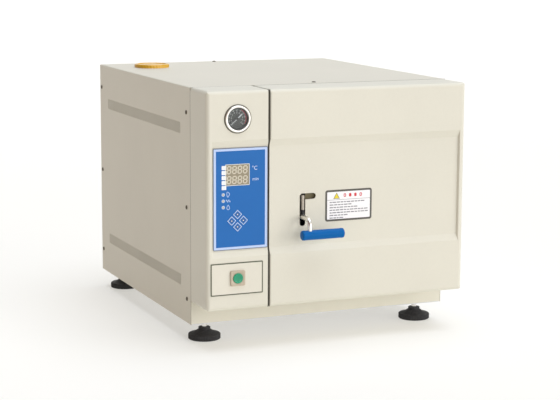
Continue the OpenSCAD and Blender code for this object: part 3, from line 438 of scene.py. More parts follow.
# Moulded or coated plastic and rubber: pebbled to the depth given, with a drift of tone and settled dust
def mouldedPlastic(name, color, low, high, scale=900.0, depth=0.12, amount=0.05, dusty=0.1, driftScale=30.0,
                   dustColor=(0.5, 0.48, 0.44), **values):
    material, tree, shader = startMaterial(name, **values)
    toned = tonedColor(tree, color, amount, driftScale)
    settled = useGroup(tree, dust, Amount=dusty)
    color = mixColor(tree, settled.outputs["Mask"], toned, dustColor)
    skin = useGroup(tree, peel, Scale=scale, Depth=depth)
    finishShader(tree, shader, color, skin.outputs["Height"], low, high, skin.outputs["Normal"])
    return material


# Powder-coated sheet steel: satin, with a slow drift of tone and a little more dust on top
def powderCoat(name, color):
    return mouldedPlastic(name, color, 0.36, 0.5, 750.0, 0.16, 0.035, 0.22, 4.0, (0.55, 0.52, 0.46),
                          Coat_Weight=0.05, Coat_Roughness=0.35, Specular_IOR_Level=0.4)


# Bare metal with lines along one axis
def workedMetal(name, color, low, high, stretch=(500.0, 12.0, 500.0), depth=0.12, amount=0.06):
    material, tree, shader = startMaterial(name, Metallic=1.0)
    lines = useGroup(tree, brush, Stretch=stretch, Depth=depth)
    toned = tonedColor(tree, color, amount, 18.0)
    finishShader(tree, shader, toned, lines.outputs["Lines"], low, high, lines.outputs["Normal"])
    return material


# Flat ink on a film: a little uneven, like a screen print
def printInk(name, color):
    return mouldedPlastic(name, color, 0.36, 0.48, 1500.0, 0.05, 0.04, 0.0)


# Film with a printed field, a border round it and a fine line at its edge
def framedFilm(name, low, high, fieldColor, borderColor, lineColor, border, line, radius):
    material, tree, shader = startMaterial(name, Coat_Weight=0.06, Coat_Roughness=0.2, Specular_IOR_Level=0.3)
    centre, half = (low + high) / 2, (high - low) / 2
    masks = []
    for inset in (line, border):
        node = useGroup(tree, field, Centre_X=centre.x, Centre_Z=centre.z, Half_Width=half.x - inset,
                        Half_Height=half.z - inset, Radius=max(radius - inset, 0.0008))
        masks.append(node.outputs["Mask"])
    color = mixColor(tree, masks[0], lineColor, borderColor)
    color = mixColor(tree, masks[1], color, fieldColor)
    toned = tonedColor(tree, color, 0.03, 20.0)
    skin = useGroup(tree, peel, Scale=1600.0, Depth=0.06)
    finishShader(tree, shader, toned, skin.outputs["Height"], 0.28, 0.42, skin.outputs["Normal"])
    return material


def clearGlass(name):
    material, tree, shader = startMaterial(name, Base_Color=(0.96, 0.98, 0.98), Transmission_Weight=1.0, IOR=1.45)
    smear = noiseNode(tree, objectPlace(tree), 60.0, 3.0)
    tree.links.new(ranged(tree, smear, 0.02, 0.1), shader.inputs["Roughness"])
    return material


# Circuit board: dark green blocks in a brick pattern with paler tracks between them
def circuitBoard(name):
    material, tree, shader = startMaterial(name)
    tracks = tree.nodes.new("ShaderNodeTexBrick")
    tracks.inputs["Scale"].default_value = 90.0
    tracks.inputs["Mortar Size"].default_value = 0.06
    tracks.inputs["Color1"].default_value = (0.02, 0.16, 0.07, 1)
    tracks.inputs["Color2"].default_value = (0.03, 0.2, 0.09, 1)
    tracks.inputs["Mortar"].default_value = (0.12, 0.3, 0.13, 1)
    tree.links.new(objectPlace(tree), tracks.inputs["Vector"])
    toned = tonedColor(tree, tracks.outputs["Color"], 0.08, 40.0)
    tree.links.new(toned, shader.inputs["Base Color"])
    tree.links.new(ranged(tree, tracks.outputs["Fac"], 0.35, 0.5), shader.inputs["Roughness"])
    return material


# Glass-fibre blanket: fibres from a stretched noise, with a soft sheen
def fibreBlanket(name):
    material, tree, shader = startMaterial(name, Sheen_Weight=0.3)
    fibres = useGroup(tree, brush, Stretch=(220.0, 900.0, 220.0), Depth=0.8)
    toned = tonedColor(tree, (0.72, 0.69, 0.58), 0.14, 35.0)
    finishShader(tree, shader, toned, fibres.outputs["Lines"], 0.8, 1.0, fibres.outputs["Normal"])
    return material


ivoryPaint = powderCoat("ivoryPaint", (0.685, 0.662, 0.555))
# The hood takes the same ivory paint made a little darker: painted shade for its side
shadedHoodPaint = powderCoat("shadedHoodPaint", (0.665, 0.63, 0.52))
zincSheet = workedMetal("zincSheet", (0.55, 0.56, 0.57), 0.35, 0.5, (60.0, 60.0, 60.0), 0.1, 0.12)
polishedSteel = workedMetal("polishedSteel", (0.74, 0.73, 0.71), 0.12, 0.24, (300.0, 300.0, 20.0), 0.04)
satinSteel = workedMetal("satinSteel", (0.86, 0.84, 0.78), 0.3, 0.4, (300.0, 300.0, 300.0), 0.03)
darkSteel = workedMetal("darkSteel", (0.14, 0.12, 0.09), 0.35, 0.5, (300.0, 300.0, 300.0), 0.05)
brushedSteel = workedMetal("brushedSteel", (0.60, 0.60, 0.60), 0.22, 0.42)
chamberSteel = workedMetal("chamberSteel", (0.62, 0.62, 0.62), 0.2, 0.38, (9.0, 700.0, 9.0), 0.15)
blackEnamel = mouldedPlastic("blackEnamel", (0.025, 0.025, 0.027), 0.3, 0.5, 500.0, 0.2)
dialGrey = mouldedPlastic("dialGrey", (0.055, 0.06, 0.055), 0.4, 0.55)
matBlack = mouldedPlastic("matBlack", (0.012, 0.012, 0.013), 0.45, 0.6)
whiteInk = printInk("whiteInk", (0.84, 0.85, 0.86))
dialInk = printInk("dialInk", (0.80, 0.82, 0.79))
lightInk = printInk("lightInk", (0.62, 0.72, 0.90))
creamInk = printInk("creamInk", (0.78, 0.77, 0.66))
oliveInk = printInk("oliveInk", (0.16, 0.15, 0.06))
greyInk = printInk("greyInk", (0.24, 0.24, 0.25))
redInk = printInk("redInk", (0.62, 0.03, 0.04))
yellowInk = printInk("yellowInk", (0.82, 0.66, 0.03))
paleBlueInk = printInk("paleBlueInk", (0.50, 0.63, 0.86))
deepBlueInk = printInk("deepBlueInk", (0.03, 0.09, 0.25))
segmentInk = printInk("segmentInk", (0.60, 0.55, 0.43))
keypadFilm = framedFilm("keypadFilm", panelLow, panelHigh, (0.006, 0.128, 0.42), (0.49, 0.61, 0.85),
                        (0.16, 0.18, 0.23), 6.3 * mm, 1.6 * mm, 3 * mm)
keyFilm = mouldedPlastic("keyFilm", (0.012, 0.14, 0.43), 0.3, 0.42, 1500.0, 0.05, 0.03, 0.0, Specular_IOR_Level=0.3)
labelFilm = framedFilm("labelFilm", labelLow, labelHigh, (0.90, 0.89, 0.88), (0.10, 0.095, 0.08),
                       (0.14, 0.13, 0.11), 4.2 * mm, 0.3 * mm, 6 * mm)
switchFilm = framedFilm("switchFilm", plateLow, plateHigh, (0.71, 0.68, 0.575), (0.105, 0.115, 0.075),
                        (0.14, 0.15, 0.10), 2.4 * mm, 0.2 * mm, 2 * mm)
displaySmoke = mouldedPlastic("displaySmoke", (0.29, 0.25, 0.165), 0.12, 0.22, 900.0, 0.02, 0.05, 0.0,
                              Coat_Weight=0.5, Coat_Roughness=0.05)
lampLens = mouldedPlastic("lampLens", (0.52, 0.47, 0.38), 0.1, 0.2, 900.0, 0.02, 0.02, 0.0, Coat_Weight=0.5)
bezelPlastic = mouldedPlastic("bezelPlastic", (0.50, 0.42, 0.31), 0.3, 0.42)
buttonGreen = mouldedPlastic("buttonGreen", (0.0, 0.27, 0.13), 0.16, 0.26, 900.0, 0.03, 0.04, 0.03,
                             Coat_Weight=0.4, Coat_Roughness=0.1)
gripBlue = mouldedPlastic("gripBlue", (0.0, 0.112, 0.365), 0.36, 0.46, 700.0, 0.1, 0.04, 0.0,
                          Specular_IOR_Level=0.12)
capAmber = mouldedPlastic("capAmber", (0.70, 0.39, 0.02), 0.24, 0.36, 800.0, 0.08, 0.08, 0.1, Coat_Weight=0.2)
# Dark rubber used as painted shade: the ring round the gauge bezel and the strips in the door's gap
paintedShadeRubber = mouldedPlastic("paintedShadeRubber", (0.10, 0.09, 0.065), 0.5, 0.65, 600.0, 0.2)
rubber = mouldedPlastic("rubber", (0.018, 0.018, 0.02), 0.5, 0.75, 600.0, 0.3, 0.1, 0.2)
silicone = mouldedPlastic("silicone", (0.78, 0.77, 0.72), 0.4, 0.55, 500.0, 0.1, 0.04, 0.1, Subsurface_Weight=0.05)
tankPlastic = mouldedPlastic("tankPlastic", (0.78, 0.78, 0.74), 0.4, 0.55, 300.0, 0.1)
leverRed = mouldedPlastic("leverRed", (0.52, 0.03, 0.03), 0.3, 0.42, 500.0, 0.1)
sleeveZinc = mouldedPlastic("sleeveZinc", (0.50, 0.45, 0.37), 0.3, 0.45, 400.0, 0.1, 0.1, 0.0)
# Very dark brown for the plate behind the lever slot: painted shade of the slot's inside
slotShadeZinc = mouldedPlastic("slotShadeZinc", (0.13, 0.105, 0.04), 0.4, 0.55, 400.0, 0.15, 0.15, 0.0)
# Dark material used as painted shade in the seam between the hood and the front frame
paintedSeamShade = mouldedPlastic("paintedSeamShade", (0.17, 0.155, 0.115), 0.6, 0.75, 400.0, 0.1)
brass = workedMetal("brass", (0.62, 0.45, 0.2), 0.25, 0.42, (60.0, 500.0, 60.0), 0.1)
copper = workedMetal("copper", (0.68, 0.34, 0.2), 0.24, 0.42, (90.0, 90.0, 90.0), 0.08, 0.16)
lensGlass = clearGlass("lensGlass")
greenBoard = circuitBoard("greenBoard")
blanket = fibreBlanket("blanket")

nodeFinish = {
    ivoryPaint: ["front_frame", "rear_panel", "control_fascia", "door_cover"],
    shadedHoodPaint: ["outer_hood"],
    zincSheet: ["base_tray", "chamber_saddles", "latch_keeper"],
    satinSteel: ["lever_arm"],
    polishedSteel: ["hinge_pins", "foot_stud_fl", "foot_stud_fr", "foot_stud_rl", "foot_stud_rr", "pull_ring"],
    brushedSteel: ["tray_rack", "tray_upper", "tray_middle", "tray_lower", "door_plate"],
    chamberSteel: ["chamber"],
    blackEnamel: ["hinge_brackets", "lever_brackets", "door_yoke", "heater_element", "water_pump"],
    dialGrey: ["gauge_dial"],
    matBlack: ["power_inlet", "fan_rotor", "fan_frame"],
    whiteInk: ["gauge_needle"],
    lensGlass: ["gauge_lens"],
    keypadFilm: ["keypad_panel"],
    keyFilm: ["key_up", "key_down", "key_left", "key_right"],
    displaySmoke: ["display_module"],
    greenBoard: ["display_board", "control_electronics"],
    switchFilm: ["switch_plate"],
    blanket: ["insulation_jacket"],
    silicone: ["door_gasket"],
    labelFilm: ["notice_label"],
    tankPlastic: ["water_tank"],
    brass: ["solenoid_valves", "safety_valve", "drain_valve"],
    copper: ["pipework"],
    leverRed: ["drain_lever"],
}
for material, names in nodeFinish.items():
    for name in names:
        for slot in nodes[name].material_slots:
            slot.material = material
print("materials ready")

# Bench


floor = {"reach": 7.0, "level": -0.5 * mm, "riseFrom": 0.45, "riseOver": 0.5, "riseHeight": 0.4, "glow": 0.50,
         "paper": (0.46, 0.45, 0.43), "light": (1.0, 0.985, 0.93)}


# A sheet that rises into a wall far behind, so that no horizon shows: height follows a smooth step
def makeFloor(f):
    span = np.linspace(-1, 1, 81) * f["reach"]
    x, y = np.meshgrid(span, span, indexing="ij")
    rise = np.clip((y - f["reach"] * f["riseFrom"]) / (f["reach"] * f["riseOver"]), 0, 1)
    height = f["level"] + (rise ** 2 * (3 - 2 * rise)) * f["reach"] * f["riseHeight"]
    mesh = gridMesh(np.stack([x, y, height], axis=2), joinColumns=False)
    # A sheet on a light table, so it glows a little of its own and shadows stay pale
    material, tree, shader = startMaterial("benchPaper", Roughness=0.8, Emission_Strength=f["glow"])
    tree.links.new(tonedColor(tree, f["paper"], 0.004, 1.2), shader.inputs["Base Color"])
    tree.links.new(tonedColor(tree, f["light"], 0.002, 1.2), shader.inputs["Emission Color"])
    mesh.materials.append(material)
    bench = bpy.data.objects.new("bench", mesh)
    bpy.context.scene.collection.objects.link(bench)


makeFloor(floor)

# Gauge
gaugeLow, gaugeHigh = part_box("gauge_case")
gaugeX, _, gaugeZ = middle(gaugeLow, gaugeHigh)
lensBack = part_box("gauge_lens")[1].y
gauge = {"rim": 27.9 * mm, "seat": (gaugeHigh.x - gaugeLow.x) / 2, "glass": 22.8 * mm, "body": 25.8 * mm,
         "lip": 2.2 * mm, "front": gaugeLow.y, "back": gaugeHigh.y, "floor": skinY + 7 * mm,
         "bodyBack": skinY + 26 * mm, "stem": 6 * mm, "sweep": 264, "marks": 51, "ink": 0.08 * mm,
         "digitRadius": 12.6 * mm, "digit": 5.4 * mm, "major": (15.8 * mm, 19 * mm, 0.6 * mm),
         "minor": (17.4 * mm, 19 * mm, 0.2 * mm), "zone": (19.4 * mm, 21.1 * mm), "zoneAngles": (28, 125)}


def makeGauge(g):
    # Bezel: quarter round outside, flat rim, then a cone in to the glass; behind it the body and the stem
    outer = rolledEdge(g["rim"], g["front"], g["lip"], 1, 8)
    inner = [(g["glass"] + 1.6 * mm, g["front"]), (g["glass"] + 0.7 * mm, g["front"] + 0.4 * mm),
             (g["glass"], g["front"] + 1.6 * mm), (g["glass"], g["floor"]), (0, g["floor"])]
    behind = [(0, g["back"]), (g["stem"], g["back"]), (g["stem"], g["bodyBack"]), (g["body"], g["bodyBack"]),
              (g["body"], skinY), (g["rim"], skinY)]
    centre = (gaugeX, 0, gaugeZ)
    addPiece("gaugeBezel", latheMesh(np.vstack([behind, outer, inner]), centre, "y"), "case", satinSteel,
             ["gauge_case"])
    # Painted shade round the gauge: a dark rubber seat, half an oval outside the rim, stands for the shadow round the
    # bezel; a black sleeve behind the glass stands for the shaded inner wall
    seat = [(g["seat"] - 2.9 * mm * (1 - math.cos(t)), skinY - 2.4 * mm * math.sin(t))
            for t in np.linspace(0, np.pi / 2, 8)]
    loop = seat + [(g["rim"] - 0.6 * mm, skinY), seat[0]]
    addPiece("gaugeShadowSeat", latheMesh(loop, centre, "y"), "case", paintedShadeRubber)
    wall, inside = g["glass"] - 0.1 * mm, g["glass"] - 0.6 * mm
    sleeve = [(wall, lensBack), (wall, g["floor"]), (inside, g["floor"]), (inside, lensBack), (wall, lensBack)]
    addPiece("gaugeShadowSleeve", latheMesh(sleeve, centre, "y"), "case", matBlack)


# Rectangles that stand on spokes: each has its radius span, its half width and its angle from straight up
def spokes(angles, r0, r1, half):
    out = np.stack([np.sin(angles), np.cos(angles)], axis=1)[:, None, :]
    side = np.stack([np.cos(angles), -np.sin(angles)], axis=1)[:, None, :]
    along = np.array([r0, r1, r1, r0])[None, :, None]
    across = np.array([-half, -half, half, half])[None, :, None]
    return np.array([gaugeX, gaugeZ]) + along * out + across * side


# Digits as a mesh, centred at a place on a plane that faces the front
def makeDigits(name, text, x, z, size, yFront, material):
    curve = bpy.data.curves.new(name, "FONT")
    curve.body, curve.size, curve.align_x, curve.align_y = text, size, "CENTER", "CENTER"
    curve.extrude = 0.04 * mm
    holder = bpy.data.objects.new(name + "Curve", curve)
    bpy.context.scene.collection.objects.link(holder)
    bpy.context.view_layer.update()
    mesh = bpy.data.meshes.new_from_object(holder.evaluated_get(bpy.context.evaluated_depsgraph_get()))
    bpy.data.objects.remove(holder)
    mesh.transform(Matrix.Translation((x, yFront, z)) @ Matrix.Rotation(math.pi / 2, 4, "X"))
    mesh.materials.clear()
    addPiece(name, tidyMesh(mesh), "case", material)


def makeDial(g):
    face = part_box("gauge_dial")[0].y
    start = math.radians(-g["sweep"] / 2)
    angles = np.linspace(start, -start, g["marks"])
    marks = np.concatenate([spokes(angles[::5], *g["major"]), spokes(angles, *g["minor"])])
    addFlat("dialMarks", marks, face, g["ink"], "case", dialInk)
    arc = np.radians(np.linspace(*g["zoneAngles"], 50))
    ring = np.stack([np.sin(arc), np.cos(arc)], axis=1)
    centre = np.array([gaugeX, gaugeZ])
    zone = np.concatenate([centre + ring * g["zone"][1], (centre + ring * g["zone"][0])[::-1]])[None]
    addFlat("dialZone", zone, face, g["ink"], "case", redInk)
    for i, angle in enumerate(angles[::5]):
        makeDigits(f"dialDigit{i}", str(i), gaugeX + math.sin(angle) * g["digitRadius"],
                   gaugeZ + math.cos(angle) * g["digitRadius"], g["digit"], face - 0.05 * mm, dialInk)
    boss = [(0, 1.5), (2.2, 1.5), (2.8, 1.1), (2.8, 0.2), (0, 0.2)]
    profile = [(r * mm, skinY + 2.2 * mm - h * mm) for r, h in boss]
    addPiece("needleBoss", latheMesh(profile, (gaugeX, 0, gaugeZ), "y", 40), "needle", matBlack)


makeGauge(gauge)
makeDial(gauge)
print("gauge ready")

# Keypad
keypad = {"print": 0.06 * mm, "squareSize": (10.2 * mm, 8.4 * mm), "squares": 5, "squareX": 24 * mm,
          "squareDrop": 5.2 * mm, "keyLine": 1.1 * mm, "lampX": 22.4 * mm, "lampZ": 90.1 * mm, "lampPitch": 13.2 * mm,
          "lampRadius": 2.45 * mm, "lampRing": 1.1 * mm, "signX": 33.3 * mm, "sign": 4.9 * mm, "signLine": 1.1 * mm,
          "mark": 1.5 * mm, "middle": 4.6 * mm, "dot": 1.2 * mm, "degrees": (92 * mm, 8.7 * mm, 11.5 * mm),
          "minutes": (94 * mm, 31.5 * mm, 9.5 * mm)}


# White fields beside the display with a small pale mark in each
def keypadSquares(k, face):
    pitch = (displayHigh.z - displayLow.z) / (k["squares"] - 1)
    heights = displayHigh.z - k["squareDrop"] - np.arange(k["squares"]) * pitch
    centres = np.stack([np.full(k["squares"], panelLow.x + k["squareX"]), heights], axis=1)
    outlines = centres[:, None, :] + roundRect((0, 0), *k["squareSize"], 0.9 * mm, 3)[None]
    addFlat("keypadSquares", outlines, face, k["print"], "case", whiteInk)
    turns = np.arange(k["squares"])[:, None] * 0.9 + np.linspace(0, 2 * np.pi, 3, endpoint=False)[None]
    marks = centres[:, None, :] + k["mark"] * unitCircle(turns)
    addFlat("keypadMarks", marks, face - k["print"], k["print"], "case", paleBlueInk)


# The four keys: a pale outline, a dark middle and a white dot, each riding on its own key
def keyPrints(k):
    for key in ("up", "down", "left", "right"):
        low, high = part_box("key_" + key)
        centre = np.array(middle(low, high))[[0, 2]]
        half = (high.x - low.x) / 2
        corners = np.array([[1, 0], [0, 1], [-1, 0], [0, -1]])
        face, body = low.y, "key_" + key
        outer = centre + corners * (half - 0.3 * mm)
        inner = centre + corners * (half - 0.3 * mm - math.sqrt(2) * k["keyLine"])
        addPiece(f"keyLine_{key}", ringMesh(outer, inner, face, face - k["print"]), body, lightInk)
        addFlat(f"keyMiddle_{key}", (centre + corners * k["middle"])[None], face, k["print"], body, deepBlueInk)
        addFlat(f"keyDot_{key}", circleOutline(centre, k["dot"], 20)[None], face, 2 * k["print"], body, whiteInk)


# A strip of even width along an open or closed flat path, as an outline for printing
def strokeOutline(path, width):
    path = np.asarray(path, float)
    along = np.gradient(path, axis=0)
    along = along / np.linalg.norm(along, axis=1, keepdims=True)
    side = along[:, ::-1] * np.array([1, -1]) * width / 2
    return np.concatenate([path + side, (path - side)[::-1]])


# Lamp lenses, low domes with a pale ring, and an outline sign beside each: a drop, a wave and a flame
def keypadLamps(k, face):
    t = np.linspace(0, 1, 40)
    turn = 2 * np.pi * t
    r = k["sign"]
    drop = np.stack([0.8 * r * np.sin(turn) * np.sin(turn / 2), r * np.cos(turn)], axis=1)
    wave = np.stack([r * (2 * t - 1), 0.5 * r * np.sin(2 * turn)], axis=1)
    flame = np.stack([0.8 * r * np.sin(turn) * (0.5 + 0.5 * np.sin(turn / 2) ** 2), -r * np.cos(turn)
                      + 0.25 * r * np.sin(2 * turn)], axis=1)
    edge = np.linspace(0, np.pi / 2, 6)
    dome = [(k["lampRadius"] * math.cos(a), face + 0.1 * mm - 0.7 * mm * math.sin(a)) for a in edge]
    profile = [(0, face + 1.2 * mm), (k["lampRadius"], face + 1.2 * mm)] + dome
    for i, sign in enumerate((drop, wave, flame)):
        x, z = panelLow.x + k["lampX"], panelLow.z + k["lampZ"] + i * k["lampPitch"]
        addPiece(f"lampLens{i}", latheMesh(profile, (x, 0, z), "y", 32), "case", lampLens)
        outer, inner = (circleOutline((x, z), k["lampRadius"] + wide) for wide in (k["lampRing"], 0))
        addPiece(f"lampRing{i}", ringMesh(outer, inner, face, face - k["print"]), "case", paleBlueInk)
        outline = np.array([panelLow.x + k["signX"], z]) + strokeOutline(sign, k["signLine"])
        addFlat(f"lampSign{i}", outline[None], face, k["print"], "case", paleBlueInk)


def makeKeypad(k):
    face = panelLow.y
    keypadSquares(k, face)
    keyPrints(k)
    keypadLamps(k, face)
    units = (("unitDegrees", "°C", k["degrees"]), ("unitMinutes", "min", k["minutes"]))
    for name, text, (right, down, size) in units:
        makeDigits(name, text, panelLow.x + right, displayHigh.z - down, size, face - 0.05 * mm, lightInk)


makeKeypad(keypad)

# Display
display = {"digits": 4, "rows": 2, "digitW": 7.6 * mm, "digitH": 14.6 * mm, "stroke": 2.4 * mm, "lean": 0.07,
           "margin": 1.6 * mm, "frame": 1.2 * mm, "gap": 0.25 * mm, "ink": 0.05 * mm, "clear": 0.7 * mm}


# The seven bars of every digit: hexagons laid along the sides of two stacked squares, leaning to the right
def digitBars(d):
    w, h, s = d["digitW"], d["digitH"], d["stroke"]
    ends = np.array([[[0, h], [w, h]], [[w, h], [w, h / 2]], [[w, h / 2], [w, 0]], [[0, 0], [w, 0]],
                     [[0, h / 2], [0, 0]], [[0, h], [0, h / 2]], [[0, h / 2], [w, h / 2]]])
    a, b = ends[:, 0], ends[:, 1]
    along = (b - a) / np.linalg.norm(b - a, axis=1, keepdims=True)
    side = along[:, ::-1] * np.array([1, -1]) * s / 2
    a, b = a + along * d["gap"], b - along * d["gap"]
    bars = np.stack([a, a + along * s / 2 + side, b - along * s / 2 + side, b,
                     b - along * s / 2 - side, a + along * s / 2 - side], axis=1)
    bars[..., 0] += bars[..., 1] * d["lean"]
    return bars


def makeDisplay(d):
    face = displayLow.y
    width, height = displayHigh.x - displayLow.x, displayHigh.z - displayLow.z
    step = (width - 2 * d["margin"]) / d["digits"]
    columns = displayLow.x + d["margin"] + step * (np.arange(d["digits"]) + 0.5) - d["digitW"] * 0.62
    rows = displayLow.z + height * (np.arange(d["rows"]) + 0.5) / d["rows"] - d["digitH"] / 2
    origin = np.stack(np.meshgrid(columns, rows), axis=-1).reshape(-1, 1, 1, 2)
    bars = (origin + digitBars(d)[None]).reshape(-1, 6, 2)
    addFlat("displayDigits", bars, face, d["ink"], "case", segmentInk)
    centre = np.array(middle(displayLow, displayHigh))[[0, 2]]
    width, height, rim = width + d["clear"], height + d["clear"], 2 * d["frame"]
    outer, inner = roundRect(centre, width + rim, height + rim, 1.4 * mm), roundRect(centre, width, height, 0.3 * mm)
    addPiece("displayFrame", ringMesh(outer, inner, panelLow.y, panelLow.y - 0.15 * mm), "case", creamInk)


makeDisplay(display)
print("keypad and display ready")

# Painted shade in the gap between the fascia and the door: dark rubber strips on both edges
gapShade = {"lead": 1.2 * mm, "thick": 1.2 * mm, "bandFoot": doorLow.z + 112 * mm, "bandTop": doorLow.z + 355 * mm,
        "slope": 14.5 * mm, "deep": 5 * mm, "inset": 1 * mm, "gap": 0.3 * mm}


# Strip that stands on an edge: its front follows the band, which sinks by its depth over a slope at each end
def makeSeal(name, x0, x1, body, s):
    z = np.array([doorLow.z + s["inset"], s["bandFoot"], s["bandFoot"] + s["slope"], s["bandTop"] - s["slope"],
                  s["bandTop"], doorHigh.z - s["inset"]])
    front = skinY + s["lead"] + s["deep"] * np.array([0, 0, 1, 1, 0, 0])
    back = np.full(len(z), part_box("front_frame")[0].y - s["gap"])
    x = np.array([x0, x1, x1, x0])
    y = np.stack([front, front, back, back], axis=1)
    points = np.stack([np.broadcast_to(x, y.shape), y, np.broadcast_to(z[:, None], y.shape)], axis=2)
    addPiece(name, gridMesh(points, caps=True), body, paintedShadeRubber)


makeSeal("doorGapShade", doorLow.x - gapShade["thick"], doorLow.x, "door", gapShade)
makeSeal("fasciaGapShade", fasciaHigh.x, fasciaHigh.x + gapShade["thick"], "case", gapShade)

hoodSeamShade = {"width": 1.3 * mm, "proud": 0.06 * mm}


# Painted shade of the seam where the hood meets the front frame: a thin dark bead up the left side, over the top and
# down the right
def makeHoodJoint(s):
    proud, thick = s["proud"], 3 * s["proud"]
    left, right, low, high = hoodLow.x - proud, hoodHigh.x + proud, hoodLow.z, hoodHigh.z + proud
    path = np.array([[left, low], [left, high], [right, high], [right, low]])
    inner = path + thick * np.array([[1, 0], [1, -1], [-1, -1], [-1, 0]])
    y0, y1 = hoodLow.y - s["width"] / 2, hoodLow.y + s["width"] / 2
    levels = [(path, y0), (path, y1), (inner, y1), (inner, y0)]
    points = np.stack([standUp(outline, y) for outline, y in levels], axis=1)
    addPiece("hoodSeamShade", gridMesh(points, caps=True), "case", paintedSeamShade)


makeHoodJoint(hoodSeamShade)

# Power switch
bezelLow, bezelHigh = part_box("switch_bezel")
buttonLow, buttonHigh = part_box("power_button")
bezelX, _, bezelZ = middle(bezelLow, bezelHigh)
switch = {"x": bezelX, "z": bezelZ, "width": bezelHigh.x - bezelLow.x, "radius": (buttonHigh.x - buttonLow.x) / 2,
          "corner": 3 * mm, "roll": 1.5 * mm, "dish": 0.9 * mm}


def makeSwitch(s):
    # Bezel: rounded square rings that step in over a soft edge, then sink to the round hole
    plate = plateLow.y
    steps = 12
    levels = [(0, plate), (0, bezelLow.y + 1.2 * mm), (0.35 * mm, bezelLow.y + 0.35 * mm), (1.2 * mm, bezelLow.y)]
    rings = [(roundRect((s["x"], s["z"]), s["width"] - 2 * i, s["width"] - 2 * i, s["corner"] - i, steps), y)
             for i, y in levels]
    angle = (np.arange(4)[:, None] * np.pi / 2 + np.linspace(0, np.pi / 2, steps)).ravel()
    circle = unitCircle(angle)
    for radius, y in ((s["radius"] + 2.2 * mm, bezelLow.y), (s["radius"] + 1.2 * mm, bezelLow.y + 0.6 * mm),
                      (s["radius"] + 0.1 * mm, bezelLow.y + 0.9 * mm), (s["radius"] + 0.1 * mm, plate)):
        rings.append((np.array([s["x"], s["z"]]) + circle * radius, y))
    points = np.stack([standUp(outline, y) for outline, y in rings])
    addPiece("switchBezel", gridMesh(points, joinRows=True), "case", bezelPlastic, ["switch_bezel"])
    # Button: a drum with a rolled edge and a shallow dish, whose depth falls off with the square of the radius
    r, roll = s["radius"], s["roll"]
    edge = rolledEdge(r, buttonLow.y, roll, 1, 8)
    dishR = np.linspace(r - roll, 0, 12)
    dish = np.stack([dishR, buttonLow.y + s["dish"] * (1 - (dishR / (r - roll)) ** 2)], axis=1)
    profile = np.vstack([[(0, buttonHigh.y), (r, buttonHigh.y)], edge, dish])
    addPiece("greenButton", latheMesh(profile, (s["x"], 0, s["z"]), "y", 64), "power_button",
             buttonGreen, ["power_button"])


makeSwitch(switch)

# Notice label
label = {"ink": 0.06 * mm, "rows": 7, "rowTop": 40.5 * mm, "rowPitch": 5.6 * mm, "bar": 2.2 * mm, "edge": 10 * mm,
         "rule": ((4.4, 45.2), (104.6, 45.2), (104.6, 46.0), (4.4, 46.0)),
         "triangle": ((18.5, 47.8), (33.5, 47.8), (26, 61.2)), "field": 0.74, "marks": 4, "markPitch": 12.4 * mm,
         "firstMark": (45.5 * mm, 54.6 * mm), "barGap": 1.3 * mm, "leastBar": 1.6 * mm,
         "reach": (0.86, 0.50, 0.70, 1.0, 1.0, 0.42, 0.32)}


def makeLabel(s):
    face = labelLow.y
    width = labelHigh.x - labelLow.x
    low = np.array([labelLow.x, labelLow.z])

    def printed(name, outlines, material, layer=0):
        addFlat(name, outlines, face - layer * s["ink"], s["ink"], "door", material)

    printed("labelRule", (low + np.array(s["rule"]) * mm)[None], greyInk)
    corners = np.array(s["triangle"]) * mm
    inner = corners.mean(axis=0) + (corners - corners.mean(axis=0)) * s["field"]
    printed("labelTriangle", (low + corners)[None], oliveInk)
    printed("labelTriangleField", (low + inner)[None], yellowInk, 1)
    centres = low + np.array(s["firstMark"]) + np.arange(s["marks"])[:, None] * np.array([s["markPitch"], 0])
    printed("labelMarks", centres[:, None] + roundRect((0, 0), 5.6 * mm, 7.4 * mm, 1.8 * mm, 4)[None], redInk)
    holes = centres[:, None] + roundRect((0, 0), 2.4 * mm, 3.4 * mm, 0.9 * mm, 4)[None]
    printed("labelMarkFields", holes[[0, 3]], whiteInk, 1)
    # Rows of plain bars that stand for print; their lengths follow a fixed pattern
    reach = np.array(s["reach"]) * (width - 2 * s["edge"])
    pieces = []
    for row in range(s["rows"]):
        x, z, k = s["edge"], s["rowTop"] - row * s["rowPitch"], row
        while x < s["edge"] + reach[row]:
            length = min((5 + 4 * ((k * 7) % 4) / 3) * mm, width - s["edge"] + 1 * mm - x)
            if length > s["leastBar"]:
                pieces.append(low + roundRect((x + length / 2, z), length, s["bar"], 0.5 * mm, 3))
            x += length + s["barGap"]
            k += 1
    printed("labelRows", np.array(pieces), greyInk)


makeLabel(label)

# Lever
lever = {"x": gripLow.x + 18.8 * mm, "z": (gripLow.z + gripHigh.z) / 2 + 32.4 * mm, "slotW": 13.5 * mm,
         "slotLow": -20 * mm, "slotH": 70.3 * mm, "slotL": 37.5 * mm, "lip": 0.6 * mm, "linkSide": 2.3 * mm,
         "linkY": skinY + 9.5 * mm, "linkFoot": 3 * mm, "linkTop": 46 * mm, "linkRadius": 3.6 * mm,
         "linkEdge": 1 * mm, "nutFoot": 5.15 * mm, "nutHeight": 9.2 * mm, "nutRadius": 4.6 * mm,
         "nutWaist": 0.6 * mm, "guideDrop": 18 * mm, "guideBack": 7 * mm, "guideThick": 1.2 * mm}
grip = {"bead": 0.45 * mm, "beadAt": 0.055, "beadWidth": 0.02, "swell": 0.3 * mm, "roll": 2.2 * mm}


